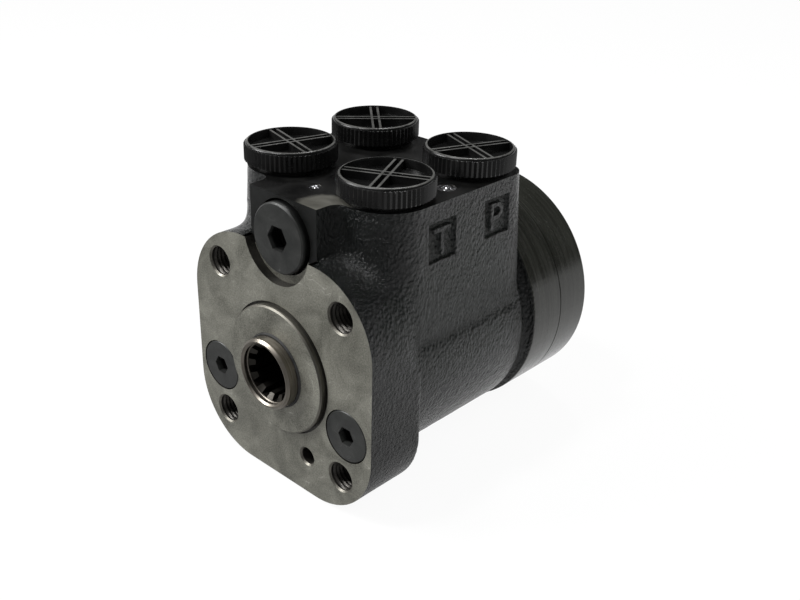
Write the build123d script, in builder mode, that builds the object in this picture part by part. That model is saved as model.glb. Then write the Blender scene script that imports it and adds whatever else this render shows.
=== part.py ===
from build123d import *
from math import cos, hypot, radians, sin
import os

# Orbital steering unit, in millimetres. The shaft runs along Y. The column flange's face is
# the plane y = 0 and faces -Y, the gear set is at the +Y end, and the ports look up, +Z.

os.makedirs("parts", exist_ok=True)

# ---- driving dimensions -------------------------------------------------------------------
running_gap = 0.03          # radial clearance of a shaft that turns in its bore
loose_gap = 0.3             # clearance round pieces that only lie in their seats
seat_gap = 0.05             # end clearance between faces that turn on each other

# casting
flange_rise_margin = 13.33  # flange above the upper column bolts
flange_drop_margin = 14.33  # flange below the lower column bolts
flange_side_wall = 1.94     # metal beside the shock plugs' recesses
flange_corner = 26.0
flange_thickness = 22.5
body_inset = 4.5            # how far the block's top stands inside the round body's side
neck_depth = 2.6
neck_start = 78.0
neck_end = 83.5
rear_step = 1.0             # how far the gear set stands proud of the round body
joint_chamfer = 0.3
casting_end = 93.0
port_face_height = 59.5
port_side_wall = 4.1        # metal between a port's recess and the block's side
block_front = 12.0
block_rear = 80.0
block_front_corner = 15.0
block_rear_corner = 8.0
block_root_height = 8.0
block_draft = 3.0
nose_width = 31.0
nose_face = 3.3
nose_foot_height = 30.0
pilot_radius = 22.6
pilot_height = 2.2
pilot_groove_radius = 23.5
pilot_groove_depth = 0.6
pilot_chamfer = 0.5
nose_root_fillet = 4.0
nose_overlap = 7.75         # how far the nose runs into the block
foot_fillet = 1.0
side_fillet = 5.0

# column bolts and the holes of the front face
column_bolt_pitch = 58.34
column_bolt_radius = 5.0
column_bolt_depth = 18.0
hole_countersink = 0.6
locating_hole_x = 13.0
locating_hole_z = -29.0
locating_hole_radius = 3.0
locating_hole_depth = 9.0

# ports and their caps
port_pitch_x = 44.0
port_pitch_y = 40.0
front_port_y = 26.5
port_radius = 10.48
port_depth = 15.5
port_recess_radius = 10.9
port_recess_depth = 5.3
gallery_radius = 4.0
gallery_lean = 2.0          # how far a gallery's top stands inside its port
gallery_reach = 10.45       # where a gallery meets the sleeve bore, across and up
cap_radius = 15.7
cap_height = 8.1
cap_wall = 1.8
cap_web = 1.5
cap_neck_height = 1.9
cap_neck_radius = 13.4
cap_stem_length = 5.0
cap_rim = 1.5
cap_floor_depth = 3.0
cap_ridges = 60
cap_ridge_depth = 0.55
cap_rib = 0.8
cap_rib_spacing = 2.5
cap_rib_drop = 0.4
cap_band_top = 0.9
cap_stem_gap = 0.1
cap_turns = {"front_right": 27.0, "front_left": -16.0, "rear_right": -22.0, "rear_left": 47.0}

# spool and sleeve
sleeve_radius = 19.0
sleeve_wall = 4.37
spool_neck_step = 2.2       # from the spool down to its neck
spool_reach = 6.9
spool_wall = 3.2
spline_teeth = 12
spline_wall = 2.2           # metal outside the spline's roots
spline_tooth_height = 1.9
spline_mouth_wall = 1.85
spline_mouth_depth = 2.2
spline_depth = 17.0
spline_tip_half_width = 0.95
spline_root_half_width = 1.5
spline_root_overlap = 0.3
spline_lead = 1.6
spline_lead_out = 0.4
spline_mouth_chamfer = 0.6
spool_chamfer = 0.8
partition_end = 19.0
twist_limit = 8.0
control_start = 46.0
control_length = 26.0
control_grooves = 12
control_width = 2.4
control_depth = 1.0
sleeve_hole_rows = [48.25, 58.25, 66.75]
sleeve_hole_radius = 1.6
pin_radius = 3.6
pin_y = 38.0
pin_swing_gap = 0.2
pin_fit = 0.02
pin_chamfer = 0.5
spring_y = 24.5
spring_width = 6.0
spring_leaf = 0.5
spring_bow = 1.05
leaf_end_gap = 0.5
spring_slot_end = 1.0
spring_ring_depth = 1.4
spring_ring_lead = 0.8
spring_ring_drop = 0.25
pin_end_gap = 0.4
groove_width = 4.5
groove_depth = 2.0
groove_lead = 2.0           # how far a port's groove starts ahead of the port's axis
groove_rows = [36.0, 46.0, 56.0, 76.0]

# front seals and thrust bearing
dust_seal_width = 0.8
dust_seal_lip = 0.6
dust_seal_skin = 0.3
dust_seal_length = 4.0
shaft_seal_width = 4.2
shaft_seal_heel = 1.2
shaft_seal_slope = 0.9
shaft_seal_hollow = 2.6
shaft_seal_start = 6.3
race_thickness = 1.6
needle_radius = 1.0
needle_length = 3.4
needle_count = 18
bearing_start = 11.5
bearing_width = 5.8         # from the races' bore out to the sleeve's radius

# gear set
lobe_count = 7
lobe_pitch_radius = 31.5
lobe_radius = 8.0
eccentricity = 2.9
rotor_clearance = 0.06
cavity_radius = 29.9
distributor_thickness = 7.0
gear_width = 6.5
cover_thickness = 10.0
cover_chamfer = 0.9
screw_wall = 3.5            # metal outside the cover screws in the round body
screw_radius = 4.0
screw_hole_gap = 0.25
screw_grip = 16.0
screw_hole_spare = 3.0
screw_pin_radius = 1.8
pin_reach = 6.0
pin_spare = 2.0
screw_head_radius = 6.5
screw_head_height = 5.0
screw_socket = 5.0
screw_socket_depth = 3.0
washer_rim_gap = 0.2
washer_thickness = 0.9
cardan_spline_teeth = 12
cardan_root_radius = 7.2
cardan_tip_radius = 8.6
cardan_shank_radius = 5.6
cardan_head_radius = 8.4
cardan_slot_gap = 0.45
cardan_spline_front = 2.7
cardan_spline_back = 1.5
cardan_crown = 0.35
cardan_root_overlap = 0.5
cardan_tip_half_width = 0.9
cardan_root_half_width = 1.35
rotor_tooth_half_width = 0.4
rotor_root_half_width = 0.95
cardan_fork_end = 2.0
spline_gap = 0.35
spacer_thickness = 1.2
spacer_radius = 9.6
distributor_hole_radius = 9.8
o_ring_section = 0.9
o_ring_wall = 2.8           # from the seal's middle out to the rim
o_ring_free = 0.02
oil_hole_radius = 2.2
oil_hole_radius_out = 26.4
oil_hole_run = 16.0

# relief valve
relief_cover = 13.5         # from the valve's axis up to the port face
relief_spot_radius = 15.4
relief_plug_radius = 11.8
relief_plug_face = 0.8
relief_head_thickness = 6.0
relief_recess_gap = 0.8
relief_thread_radius = 8.0
relief_thread_length = 10.0
relief_bore_radius = 6.4
relief_seat_y = 50.0
relief_seat_length = 6.0
relief_seat_hole = 2.4
relief_socket = 8.0
relief_socket_depth = 4.5
relief_pocket_depth = 7.5
relief_pocket_gap = 0.9
relief_chamfer = 0.5
relief_spigot_gap = 1.2
plug_end_gap = 0.5
washer_gap = 0.4
washer_bore_gap = 0.15
valve_length = 7.0          # from a valve's seat back to its spring's shoulder
valve_guide = 3.0
valve_neck = 1.0
valve_tip = 1.0
valve_gap = 0.03
valve_seat_rim = 0.4
valve_seat_chamfer = 0.6
relief_spring_radius = 3.4
relief_spring_wire = 0.7
cross_hole_radius = 2.6
cross_hole_reach = 8.0      # where the cross holes end, inside the right-hand ports
front_cross_offset = 4.0
rear_cross_offset = 3.0

# shock valves behind the two plugs in the front face
shock_over_bolt = 17.07     # height of a shock plug over the lower column bolt
shock_wall = 2.77           # metal outside the shock valve's bore in the round body
shock_plug_radius = 9.06
shock_head_thickness = 5.0
shock_thread_radius = 6.0
shock_thread_length = 9.0
shock_bore_radius = 4.8
shock_seat_y = 50.0
shock_seat_length = 5.0
shock_seat_hole = 1.8
shock_socket = 6.0
shock_socket_depth = 4.0
shock_pocket_depth = 5.5
shock_pocket_gap = 0.8
shock_chamfer = 0.3
shock_spigot_gap = 1.0
shock_spring_radius = 2.7
shock_spring_wire = 0.5

# suction balls, emergency check valve and pressed gallery plugs
suction_ball_radius = 3.0
suction_hole_radius = 3.2
suction_travel = 1.2
suction_pin_radius = 2.9
suction_seat_radius = 2.2
suction_seat_y = 57.0
check_ball_radius = 4.6
check_travel = 1.5
check_bore_radius = 6.2
check_bushing_height = 4.0
check_bushing_hole = 3.6

# pressed plugs that close drilled galleries in the port face
side_plug_radius = 3.4
side_plug_offset = 7.2      # outwards from the ports' line
nose_plug_radius = 2.4
nose_plug_y = 16.6
gallery_plug_length = 4.0
gallery_plug_depth = 6.0
gallery_plug_drop = 0.2
gallery_plug_dish = 0.9
press_gap = 0.02

# ---- places worked out from them ----------------------------------------------------------
sides = {"right": 1, "left": -1}
rear_port_y = front_port_y + port_pitch_y
port_x = port_pitch_x / 2
block_width = port_pitch_x + 2 * (port_recess_radius + port_side_wall)
body_radius = block_width / 2 + body_inset
rear_radius = body_radius + rear_step
o_ring_radius = rear_radius - o_ring_wall
screw_circle_radius = body_radius - screw_radius - screw_wall
bolt_half = column_bolt_pitch / 2
flange_rise = bolt_half + flange_rise_margin
flange_drop = bolt_half + flange_drop_margin
shock_circle_radius = body_radius - shock_bore_radius - shock_wall
shock_z = shock_over_bolt - bolt_half
shock_x = (shock_circle_radius**2 - shock_z**2) ** 0.5
shock_recess_radius = shock_plug_radius + loose_gap
flange_width = 2 * (shock_x + shock_recess_radius + flange_side_wall)
relief_height = port_face_height - relief_cover
groove_places = [front_port_y - groove_lead, *groove_rows, rear_port_y - groove_lead]
gallery_plug_spots = [
    (port_x + side_plug_offset, (front_port_y + rear_port_y) / 2, side_plug_radius),
    (0.0, nose_plug_y, nose_plug_radius),
]
port_spots = {
    "front_right": (port_x, front_port_y),
    "front_left": (-port_x, front_port_y),
    "rear_right": (port_x, rear_port_y),
    "rear_left": (-port_x, rear_port_y),
}
port_floor = port_face_height - port_depth
gear_start = casting_end + distributor_thickness
cover_start = gear_start + gear_width
cover_end = cover_start + cover_thickness
lobe_step = 360 / lobe_count
screw_angles = [90 + lobe_step * i for i in range(lobe_count)]
counterbore_floor = cover_end - screw_head_height - washer_thickness - loose_gap
spool_radius = sleeve_radius - sleeve_wall - running_gap
spool_neck_radius = spool_radius - spool_neck_step
spool_cavity_radius = spool_radius - spool_wall
spline_root_radius = spool_neck_radius - spline_wall
spline_tip_radius = spline_root_radius - spline_tooth_height
spline_mouth_radius = spool_neck_radius - spline_mouth_wall
dust_seal_radius = spool_neck_radius + dust_seal_width
shaft_seal_radius = spool_neck_radius + shaft_seal_width
bearing_inner_radius = sleeve_radius - bearing_width
sleeve_start = bearing_start + 2 * race_thickness + 2 * needle_radius + 3 * seat_gap
sleeve_end = casting_end - seat_gap
sleeve_inner = spool_radius + running_gap
spring_ring_seat = sleeve_radius - spring_ring_depth
leaf_half = spring_ring_seat - leaf_end_gap
slot_half = spring_bow + 3 * spring_leaf + 4 * seat_gap
relief_recess_floor = relief_plug_face + relief_head_thickness + 1.5
shock_recess_floor = shock_head_thickness + 1.0
oil_hole_angles = [a + lobe_step / 2 for a in screw_angles]
screw_tip = casting_end - screw_grip
check_lift = check_ball_radius + (check_ball_radius**2 - check_bushing_hole**2) ** 0.5
check_floor = port_floor - check_bushing_height - check_lift - check_travel - seat_gap
relief_recess_radius = relief_plug_radius + relief_recess_gap
relief_thread_end = relief_recess_floor + relief_thread_length
shock_bore_end = shock_seat_y + shock_seat_length
shock_sine = shock_z / screw_circle_radius
suction_angles = sorted(screw_angles, key=lambda a: abs(sin(radians(a)) - shock_sine))[:2]


def on_circle(radius, angle):
    """The X and Z of a point at this angle about the shaft."""
    return (radius * cos(radians(angle)), radius * sin(radians(angle)))


def across(y):
    """The plane across the shaft, this far behind the flange face. Its own x is X and y is Z."""
    return Plane.XZ.offset(-y)


def along(start, end, radius, spots=((0, 0),), hole=0, mode=Mode.ADD):
    """A round bar or tube along the shaft's direction, at each spot (X, Z)."""
    with BuildSketch(across(start)) as section:
        with Locations(*spots):
            Circle(radius)
            if hole:
                Circle(hole, mode=Mode.SUBTRACT)
    extrude(section.sketch, amount=start - end, mode=mode)


def upright(bottom, top, radius, spots=((0, 0),), hole=0, mode=Mode.ADD):
    """A round bar or tube along Z, at each spot (X, Y)."""
    with BuildSketch(Plane.XY.offset(bottom)) as section:
        with Locations(*spots):
            Circle(radius)
            if hole:
                Circle(hole, mode=Mode.SUBTRACT)
    extrude(section.sketch, amount=top - bottom, mode=mode)


def drill(start, end, radius):
    """Cut a straight hole between two points."""
    path = Vector(*end) - Vector(*start)
    with BuildSketch(Plane(origin=start, z_dir=path)) as section:
        Circle(radius)
    extrude(section.sketch, amount=path.length, mode=Mode.SUBTRACT)


def hex_socket(face, depth, across_flats, spots):
    """Cut a hexagon socket into a head that faces -Y."""
    with BuildSketch(across(face)) as section:
        with Locations(*spots):
            RegularPolygon(across_flats / 2, 6, major_radius=False)
    extrude(section.sketch, amount=-depth, mode=Mode.SUBTRACT)


def turned(points, mode=Mode.ADD):
    """A body turned about the shaft from points (radius, y)."""
    with BuildSketch(Plane.XY) as section:
        with BuildLine():
            Polyline(*points, close=True)
        make_face()
    revolve(section.sketch, axis=Axis.Y, mode=mode)


def soften_rim(part, radius, level):
    """Chamfer the outer rim of a round part at this place along the shaft."""
    rims = part.edges().filter_by(GeomType.CIRCLE).filter_by(lambda e: abs(e.radius - radius) < 0.01)
    chamfer(rims.filter_by_position(Axis.Y, level - 0.01, level + 0.01), joint_chamfer)


def o_ring_groove(face, inward):
    """Cut a groove for a face seal, into the body on the side that inward names."""
    depth = 2 * o_ring_section
    start, end = sorted((face, face + inward * depth))
    inner = o_ring_radius - o_ring_section - seat_gap
    outer = o_ring_radius + o_ring_section + seat_gap
    along(start, end, outer, hole=inner, mode=Mode.SUBTRACT)


def coil(radius, wire, turns, start, end, x, z):
    """A coil spring along the shaft's direction, as the path and the section of its wire."""
    pitch = (end - start - 2 * wire) / turns
    foot = (x, start + wire, z)
    path = Helix(pitch, pitch * turns, radius, center=foot, direction=(0, 1, 0), mode=Mode.PRIVATE)
    with BuildSketch(Plane(origin=path @ 0, z_dir=path % 0)) as section:
        RegularPolygon(wire, 6)
    sweep(section.sketch, path=path, is_frenet=True)


# ---- housing ------------------------------------------------------------------------------
with BuildPart() as housing:
    # round body, with the neck ahead of the gear set's flange
    with BuildSketch(Plane.XY) as body_section:
        with BuildLine():
            Line((0, flange_thickness / 2), (body_radius, flange_thickness / 2))
            Line((body_radius, flange_thickness / 2), (body_radius, neck_start))
            ThreePointArc(
                (body_radius, neck_start),
                (body_radius - neck_depth, (neck_start + neck_end) / 2),
                (rear_radius, neck_end),
            )
            Line((rear_radius, neck_end), (rear_radius, casting_end))
            Polyline((rear_radius, casting_end), (0, casting_end), (0, flange_thickness / 2))
        make_face()
    revolve(axis=Axis.Y)

    # column flange
    with BuildSketch(across(0)):
        with Locations((0, (flange_rise - flange_drop) / 2)):
            RectangleRounded(flange_width, flange_rise + flange_drop, flange_corner)
    extrude(amount=-flange_thickness)

    # port block, drafted downwards from the port face
    with BuildSketch(Plane.XY.offset(port_face_height)) as block_plan:
        with Locations((0, (block_front + block_rear) / 2)):
            block_outline = Rectangle(block_width, block_rear - block_front)
        fillet(block_outline.vertices().group_by(Axis.Y)[0], block_front_corner)
        fillet(block_plan.vertices().group_by(Axis.Y)[-1], block_rear_corner)
    extrude(amount=block_root_height - port_face_height, taper=-block_draft)

    # nose that carries the relief valve
    with BuildSketch(across(nose_face)):
        nose_middle = (port_face_height + nose_foot_height) / 2
        with Locations((0, nose_middle)):
            Rectangle(nose_width, port_face_height - nose_foot_height)
    extrude(amount=nose_face - block_front - nose_overlap)

    # cast fillets: the nose's roots, the block's foot on the flange and the block's sides
    nose_roots = (
        housing.edges()
        .filter_by(lambda e: e.length > nose_root_fillet and abs(e.center().Y - block_front) < foot_fillet)
        .filter_by(lambda e: abs(abs(e.center().X) - nose_width / 2) < 0.1)
    )
    fillet(nose_roots, nose_root_fillet)
    block_foot = (
        housing.edges()
        .filter_by_position(Axis.Z, nose_foot_height, flange_rise + 1)
        .filter_by(lambda e: nose_face < e.center().Y < flange_thickness - 1)
        .filter_by(lambda e: abs(e.center().X) > nose_width / 2 - 0.1)
    )
    fillet(block_foot, foot_fillet)
    block_sides = (
        housing.edges()
        .filter_by_position(Axis.Y, flange_thickness + 1, neck_start - 1)
        .filter_by(lambda e: e.center().Z > block_root_height)
        .filter_by(lambda e: abs(hypot(e.center().X, e.center().Z) - body_radius) < 0.01)
    )
    fillet(block_sides, side_fillet)

    # machined front: relief valve spot face, pilot with its turned groove, dust seal seat
    along(nose_face, -1, relief_spot_radius, [(0, relief_height)], mode=Mode.SUBTRACT)
    along(0, pilot_groove_depth, pilot_groove_radius, hole=pilot_radius, mode=Mode.SUBTRACT)
    along(-pilot_height, 0, pilot_radius)
    along(-pilot_height, dust_seal_length - pilot_height, dust_seal_radius, mode=Mode.SUBTRACT)
    along(-pilot_height, bearing_start, spool_neck_radius + loose_gap, mode=Mode.SUBTRACT)
    along(shaft_seal_start, bearing_start, shaft_seal_radius, mode=Mode.SUBTRACT)
    along(bearing_start, casting_end, sleeve_radius + running_gap, mode=Mode.SUBTRACT)
    for groove_y in groove_places:
        along(groove_y, groove_y + groove_width, sleeve_radius + groove_depth, mode=Mode.SUBTRACT)

    # column bolts and locating hole
    bolt_spots = [(x, z) for x in (-bolt_half, bolt_half) for z in (-bolt_half, bolt_half)]
    along(0, column_bolt_depth, column_bolt_radius, bolt_spots, mode=Mode.SUBTRACT)
    locating_spot = [(locating_hole_x, locating_hole_z)]
    along(0, locating_hole_depth, locating_hole_radius, locating_spot, mode=Mode.SUBTRACT)

    # ports, each with its gallery down to a groove of the sleeve bore
    upright(port_floor, port_face_height, port_radius, port_spots.values(), mode=Mode.SUBTRACT)
    recess_floor = port_face_height - port_recess_depth
    upright(recess_floor, port_face_height, port_recess_radius, port_spots.values(), mode=Mode.SUBTRACT)
    for place, (port_x_here, port_y_here) in port_spots.items():
        side = 1 if port_x_here > 0 else -1
        gallery_top = (check_floor if place == "rear_right" else port_floor) + 1
        drill(
            (port_x_here - side * gallery_lean, port_y_here, gallery_top),
            (side * gallery_reach, port_y_here, gallery_reach),
            gallery_radius,
        )
    plug_floor = port_face_height - gallery_plug_depth
    for plug_x, plug_y, plug_radius in gallery_plug_spots:
        upright(plug_floor, port_face_height, plug_radius, [(plug_x, plug_y)], mode=Mode.SUBTRACT)

    # emergency check valve chamber under the pressure port
    upright(check_floor, port_floor, check_bore_radius, [(port_x, rear_port_y)], mode=Mode.SUBTRACT)

    # relief valve bore and its two cross holes
    relief_spot = [(0, relief_height)]
    along(nose_face, relief_recess_floor, relief_recess_radius, relief_spot, mode=Mode.SUBTRACT)
    thread_bore = relief_thread_radius + seat_gap
    along(relief_recess_floor, relief_thread_end, thread_bore, relief_spot, mode=Mode.SUBTRACT)
    relief_bore_end = relief_seat_y + relief_seat_length
    relief_bore = relief_bore_radius + seat_gap
    along(relief_thread_end, relief_bore_end, relief_bore, relief_spot, mode=Mode.SUBTRACT)
    front_cross_y = front_port_y + front_cross_offset
    rear_cross_y = rear_port_y - rear_cross_offset
    along(relief_bore_end, rear_cross_y + 1, cross_hole_radius, relief_spot, mode=Mode.SUBTRACT)
    for cross_y in (rear_cross_y, front_cross_y):
        cross_end = (port_x - cross_hole_reach, cross_y, relief_height)
        drill((0, cross_y, relief_height), cross_end, cross_hole_radius)

    # shock valve bores, which meet the suction holes behind them
    shock_spots = [(side * shock_x, shock_z) for side in sides.values()]
    along(0, shock_recess_floor, shock_recess_radius, shock_spots, mode=Mode.SUBTRACT)
    shock_thread_end = shock_recess_floor + shock_thread_length
    thread_bore = shock_thread_radius + seat_gap
    along(shock_recess_floor, shock_thread_end, thread_bore, shock_spots, mode=Mode.SUBTRACT)
    along(shock_thread_end, shock_bore_end, shock_bore_radius + seat_gap, shock_spots, mode=Mode.SUBTRACT)
    suction_spots = [on_circle(screw_circle_radius, a) for a in suction_angles]
    along(shock_bore_end - 2, casting_end, suction_seat_radius, suction_spots, mode=Mode.SUBTRACT)
    along(suction_seat_y, casting_end, suction_hole_radius, suction_spots, mode=Mode.SUBTRACT)

    # gear set face: screw holes, O-ring groove and the oil holes that the distributor feeds
    screw_spots = [on_circle(screw_circle_radius, a) for a in screw_angles]
    screw_hole_end = screw_tip - screw_hole_spare
    along(screw_hole_end, casting_end, screw_radius + seat_gap, screw_spots, mode=Mode.SUBTRACT)
    pin_hole_end = screw_tip - pin_reach - pin_spare
    along(pin_hole_end, screw_tip, screw_pin_radius + loose_gap, screw_spots[:1], mode=Mode.SUBTRACT)
    o_ring_groove(casting_end, -1)
    for angle in oil_hole_angles:
        outer_x, outer_z = on_circle(oil_hole_radius_out, angle)
        inner_x, inner_z = on_circle(sleeve_radius - 1, angle)
        inner_end = (inner_x, casting_end - oil_hole_run, inner_z)
        drill((outer_x, casting_end + 1, outer_z), inner_end, oil_hole_radius)

    # machined edges
    mouths = housing.edges().filter_by(GeomType.CIRCLE).filter_by_position(Axis.Y, -0.01, 0.01)
    chamfer(mouths.filter_by(lambda e: abs(e.radius - column_bolt_radius) < 0.01), hole_countersink)
    chamfer(mouths.filter_by(lambda e: abs(e.radius - locating_hole_radius) < 0.01), hole_countersink)
    pilot_edge = housing.edges().filter_by(GeomType.CIRCLE).filter_by_position(
        Axis.Y, -pilot_height - 0.01, -pilot_height + 0.01
    )
    chamfer(pilot_edge.sort_by(SortBy.RADIUS)[-1], pilot_chamfer)
housing.part.label = "housing"
export_step(housing.part, "parts/housing.step")


# ---- spool, sleeve and their springs ------------------------------------------------------
spool_nose = -spool_reach
spline_floor = spool_nose + spline_depth
tooth_start = spool_nose + spline_mouth_depth
with BuildPart() as spool:
    along(spool_nose, sleeve_start + 1, spool_neck_radius)
    along(sleeve_start + 0.5, sleeve_end, spool_radius)
    along(spool_nose, spline_floor, spline_root_radius, mode=Mode.SUBTRACT)
    along(partition_end, sleeve_end, spool_cavity_radius, mode=Mode.SUBTRACT)
    with BuildSketch(across(tooth_start)):
        with PolarLocations(0, spline_teeth):
            Polygon(
                (spline_tip_radius, -spline_tip_half_width),
                (spline_root_radius + spline_root_overlap, -spline_root_half_width),
                (spline_root_radius + spline_root_overlap, spline_root_half_width),
                (spline_tip_radius, spline_tip_half_width),
                align=None,
            )
    extrude(amount=tooth_start - spline_floor)
    # lead-in cone of the splined mouth and the chamfer round the nose
    turned(
        [
            (0, spool_nose - 1),
            (spline_mouth_radius + spline_mouth_chamfer, spool_nose - 1),
            (spline_mouth_radius + spline_mouth_chamfer, spool_nose),
            (spline_mouth_radius, spool_nose + spline_mouth_chamfer),
            (spline_mouth_radius, tooth_start - spline_lead_out),
            (spline_tip_radius - seat_gap, tooth_start + spline_lead),
            (0, tooth_start + spline_lead),
        ],
        mode=Mode.SUBTRACT,
    )
    nose_rims = spool.edges().filter_by(GeomType.CIRCLE).group_by(Axis.Y)[0]
    chamfer(nose_rims.sort_by(SortBy.RADIUS)[-1], spool_chamfer)
    # slot for the leaf springs, hole that lets the cross pin swing, and the control grooves
    with BuildSketch(Plane.XY.offset(-sleeve_radius)):
        with Locations((0, spring_y)):
            Rectangle(2 * slot_half, spring_width + 2 * seat_gap)
    extrude(amount=2 * sleeve_radius, mode=Mode.SUBTRACT)
    with BuildSketch(Plane.YZ.offset(-sleeve_radius)):
        with Locations((pin_y, 0)):
            Circle(pin_radius + spool_radius * sin(radians(twist_limit)) + pin_swing_gap)
    extrude(amount=2 * sleeve_radius, mode=Mode.SUBTRACT)
    with BuildSketch(across(control_start)):
        with PolarLocations(spool_radius, control_grooves):
            Rectangle(2 * control_depth, control_width)
    extrude(amount=-control_length, mode=Mode.SUBTRACT)
spool.part.label = "spool"
export_step(spool.part, "parts/spool.step")

with BuildPart() as sleeve:
    along(sleeve_start, sleeve_end, sleeve_radius, hole=sleeve_inner)
    ring_shoulder = spring_y + spring_width / 2 + spring_slot_end
    along(sleeve_start, ring_shoulder, sleeve_radius + 1, hole=spring_ring_seat, mode=Mode.SUBTRACT)
    with BuildSketch(Plane.XY.offset(-sleeve_radius)):
        with Locations((0, spring_y)):
            Rectangle(2 * slot_half, spring_width + 2 * seat_gap)
    extrude(amount=2 * sleeve_radius, mode=Mode.SUBTRACT)
    with BuildSketch(Plane.YZ.offset(-sleeve_radius)):
        with Locations((pin_y, 0)):
            Circle(pin_radius + pin_fit)
    extrude(amount=2 * sleeve_radius, mode=Mode.SUBTRACT)
    for row, row_y in enumerate(sleeve_hole_rows):
        for i in range(3):
            x, z = on_circle(sleeve_radius + 1, 60 * i + 30 * row)
            drill((x, row_y, z), (-x, row_y, -z), sleeve_hole_radius)
sleeve.part.label = "sleeve"
export_step(sleeve.part, "parts/sleeve.step")

with BuildPart() as cross_pin:
    pin_half = sleeve_radius - pin_end_gap
    with BuildSketch(Plane.YZ.offset(-pin_half)):
        with Locations((pin_y, 0)):
            Circle(pin_radius)
    extrude(amount=2 * pin_half)
    chamfer(cross_pin.edges().filter_by(GeomType.CIRCLE), pin_chamfer)
cross_pin.part.label = "cross_pin"
export_step(cross_pin.part, "parts/cross_pin.step")

with BuildPart() as flat_springs:
    for side in sides.values():
        with BuildSketch(across(spring_y + spring_width / 2)):
            with Locations((side * (spring_leaf + seat_gap) / 2, 0)):
                Rectangle(spring_leaf, 2 * leaf_half)
        extrude(amount=spring_width)
flat_springs.part.label = "flat_springs"
export_step(flat_springs.part, "parts/flat_springs.step")

with BuildPart() as bow_springs:
    for layer in range(2):
        near = (layer + 1) * (spring_leaf + seat_gap) + seat_gap / 2
        for side in sides.values():
            with BuildSketch(across(spring_y + spring_width / 2)):
                with BuildLine():
                    ends = [side * (near + spring_bow), side * (near + spring_bow + spring_leaf)]
                    middles = [side * near, side * (near + spring_leaf)]
                    ThreePointArc((ends[0], -leaf_half), (middles[0], 0), (ends[0], leaf_half))
                    Line((ends[0], leaf_half), (ends[1], leaf_half))
                    ThreePointArc((ends[1], leaf_half), (middles[1], 0), (ends[1], -leaf_half))
                    Line((ends[1], -leaf_half), (ends[0], -leaf_half))
                make_face()
            extrude(amount=spring_width)
bow_springs.part.label = "bow_springs"
export_step(bow_springs.part, "parts/bow_springs.step")

with BuildPart() as spring_ring:
    ring_start = spring_y - spring_width / 2 - spring_ring_lead
    ring_outer = sleeve_radius - spring_ring_drop
    along(ring_start, ring_shoulder - seat_gap, ring_outer, hole=spring_ring_seat + seat_gap)
spring_ring.part.label = "spring_ring"
export_step(spring_ring.part, "parts/spring_ring.step")


# ---- front seals and thrust bearing -------------------------------------------------------
with BuildPart() as dust_seal:
    lip = spool_neck_radius + seat_gap
    seal_back = dust_seal_length - pilot_height
    seal_outer = dust_seal_radius - press_gap
    turned(
        [
            (lip, -pilot_height - dust_seal_lip),
            (lip + dust_seal_skin, -pilot_height - dust_seal_lip),
            (seal_outer, -pilot_height + seat_gap),
            (seal_outer, seal_back - press_gap),
            (lip + dust_seal_skin, seal_back - press_gap),
            (lip + dust_seal_skin, -pilot_height + dust_seal_lip),
            (lip, -pilot_height + dust_seal_skin),
        ]
    )
dust_seal.part.label = "dust_seal"
export_step(dust_seal.part, "parts/dust_seal.step")

with BuildPart() as shaft_seal:
    seal_outer = shaft_seal_radius - press_gap
    seal_end = bearing_start - seat_gap
    turned(
        [
            (lip, shaft_seal_start + 0.6),
            (lip + 0.6, shaft_seal_start + press_gap),
            (seal_outer, shaft_seal_start + press_gap),
            (seal_outer, seal_end),
            (seal_outer - shaft_seal_heel, seal_end),
            (seal_outer - shaft_seal_heel - shaft_seal_slope, seal_end - shaft_seal_hollow),
            (lip + shaft_seal_heel, seal_end),
            (lip, seal_end),
        ]
    )
shaft_seal.part.label = "shaft_seal"
export_step(shaft_seal.part, "parts/shaft_seal.step")

race_radius = sleeve_radius - 0.3
needle_y = bearing_start + race_thickness + seat_gap + needle_radius
with BuildPart() as thrust_race_outer:
    along(bearing_start, bearing_start + race_thickness, race_radius, hole=bearing_inner_radius)
thrust_race_outer.part.label = "thrust_race_outer"
export_step(thrust_race_outer.part, "parts/thrust_race_outer.step")

with BuildPart() as thrust_race_inner:
    along(sleeve_start - race_thickness - seat_gap, sleeve_start, race_radius, hole=bearing_inner_radius)
thrust_race_inner.part.label = "thrust_race_inner"
export_step(thrust_race_inner.part, "parts/thrust_race_inner.step")

needle_middle = (race_radius + bearing_inner_radius) / 2
with BuildPart() as thrust_cage:
    cage_half = 0.7 * needle_radius
    along(needle_y - cage_half, needle_y + cage_half, race_radius - 0.2, hole=bearing_inner_radius + 0.3)
    with BuildSketch(across(needle_y - cage_half)):
        with PolarLocations(needle_middle, needle_count):
            Rectangle(needle_length + 0.2, 2 * needle_radius + 0.1)
    extrude(amount=-2 * cage_half, mode=Mode.SUBTRACT)
thrust_cage.part.label = "thrust_cage"
export_step(thrust_cage.part, "parts/thrust_cage.step")

with BuildPart() as thrust_needles:
    for i in range(needle_count):
        angle = 360 / needle_count * i
        x, z = on_circle(needle_middle - needle_length / 2, angle)
        outward = (cos(radians(angle)), 0, sin(radians(angle)))
        with BuildSketch(Plane(origin=(x, needle_y, z), z_dir=outward)):
            Circle(needle_radius)
        extrude(amount=needle_length)
thrust_needles.part.label = "thrust_needles"
export_step(thrust_needles.part, "parts/thrust_needles.step")


# ---- gear set -----------------------------------------------------------------------------
gear_middle = (gear_start + cover_start) / 2
rotor_centre = (0, eccentricity)


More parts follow.
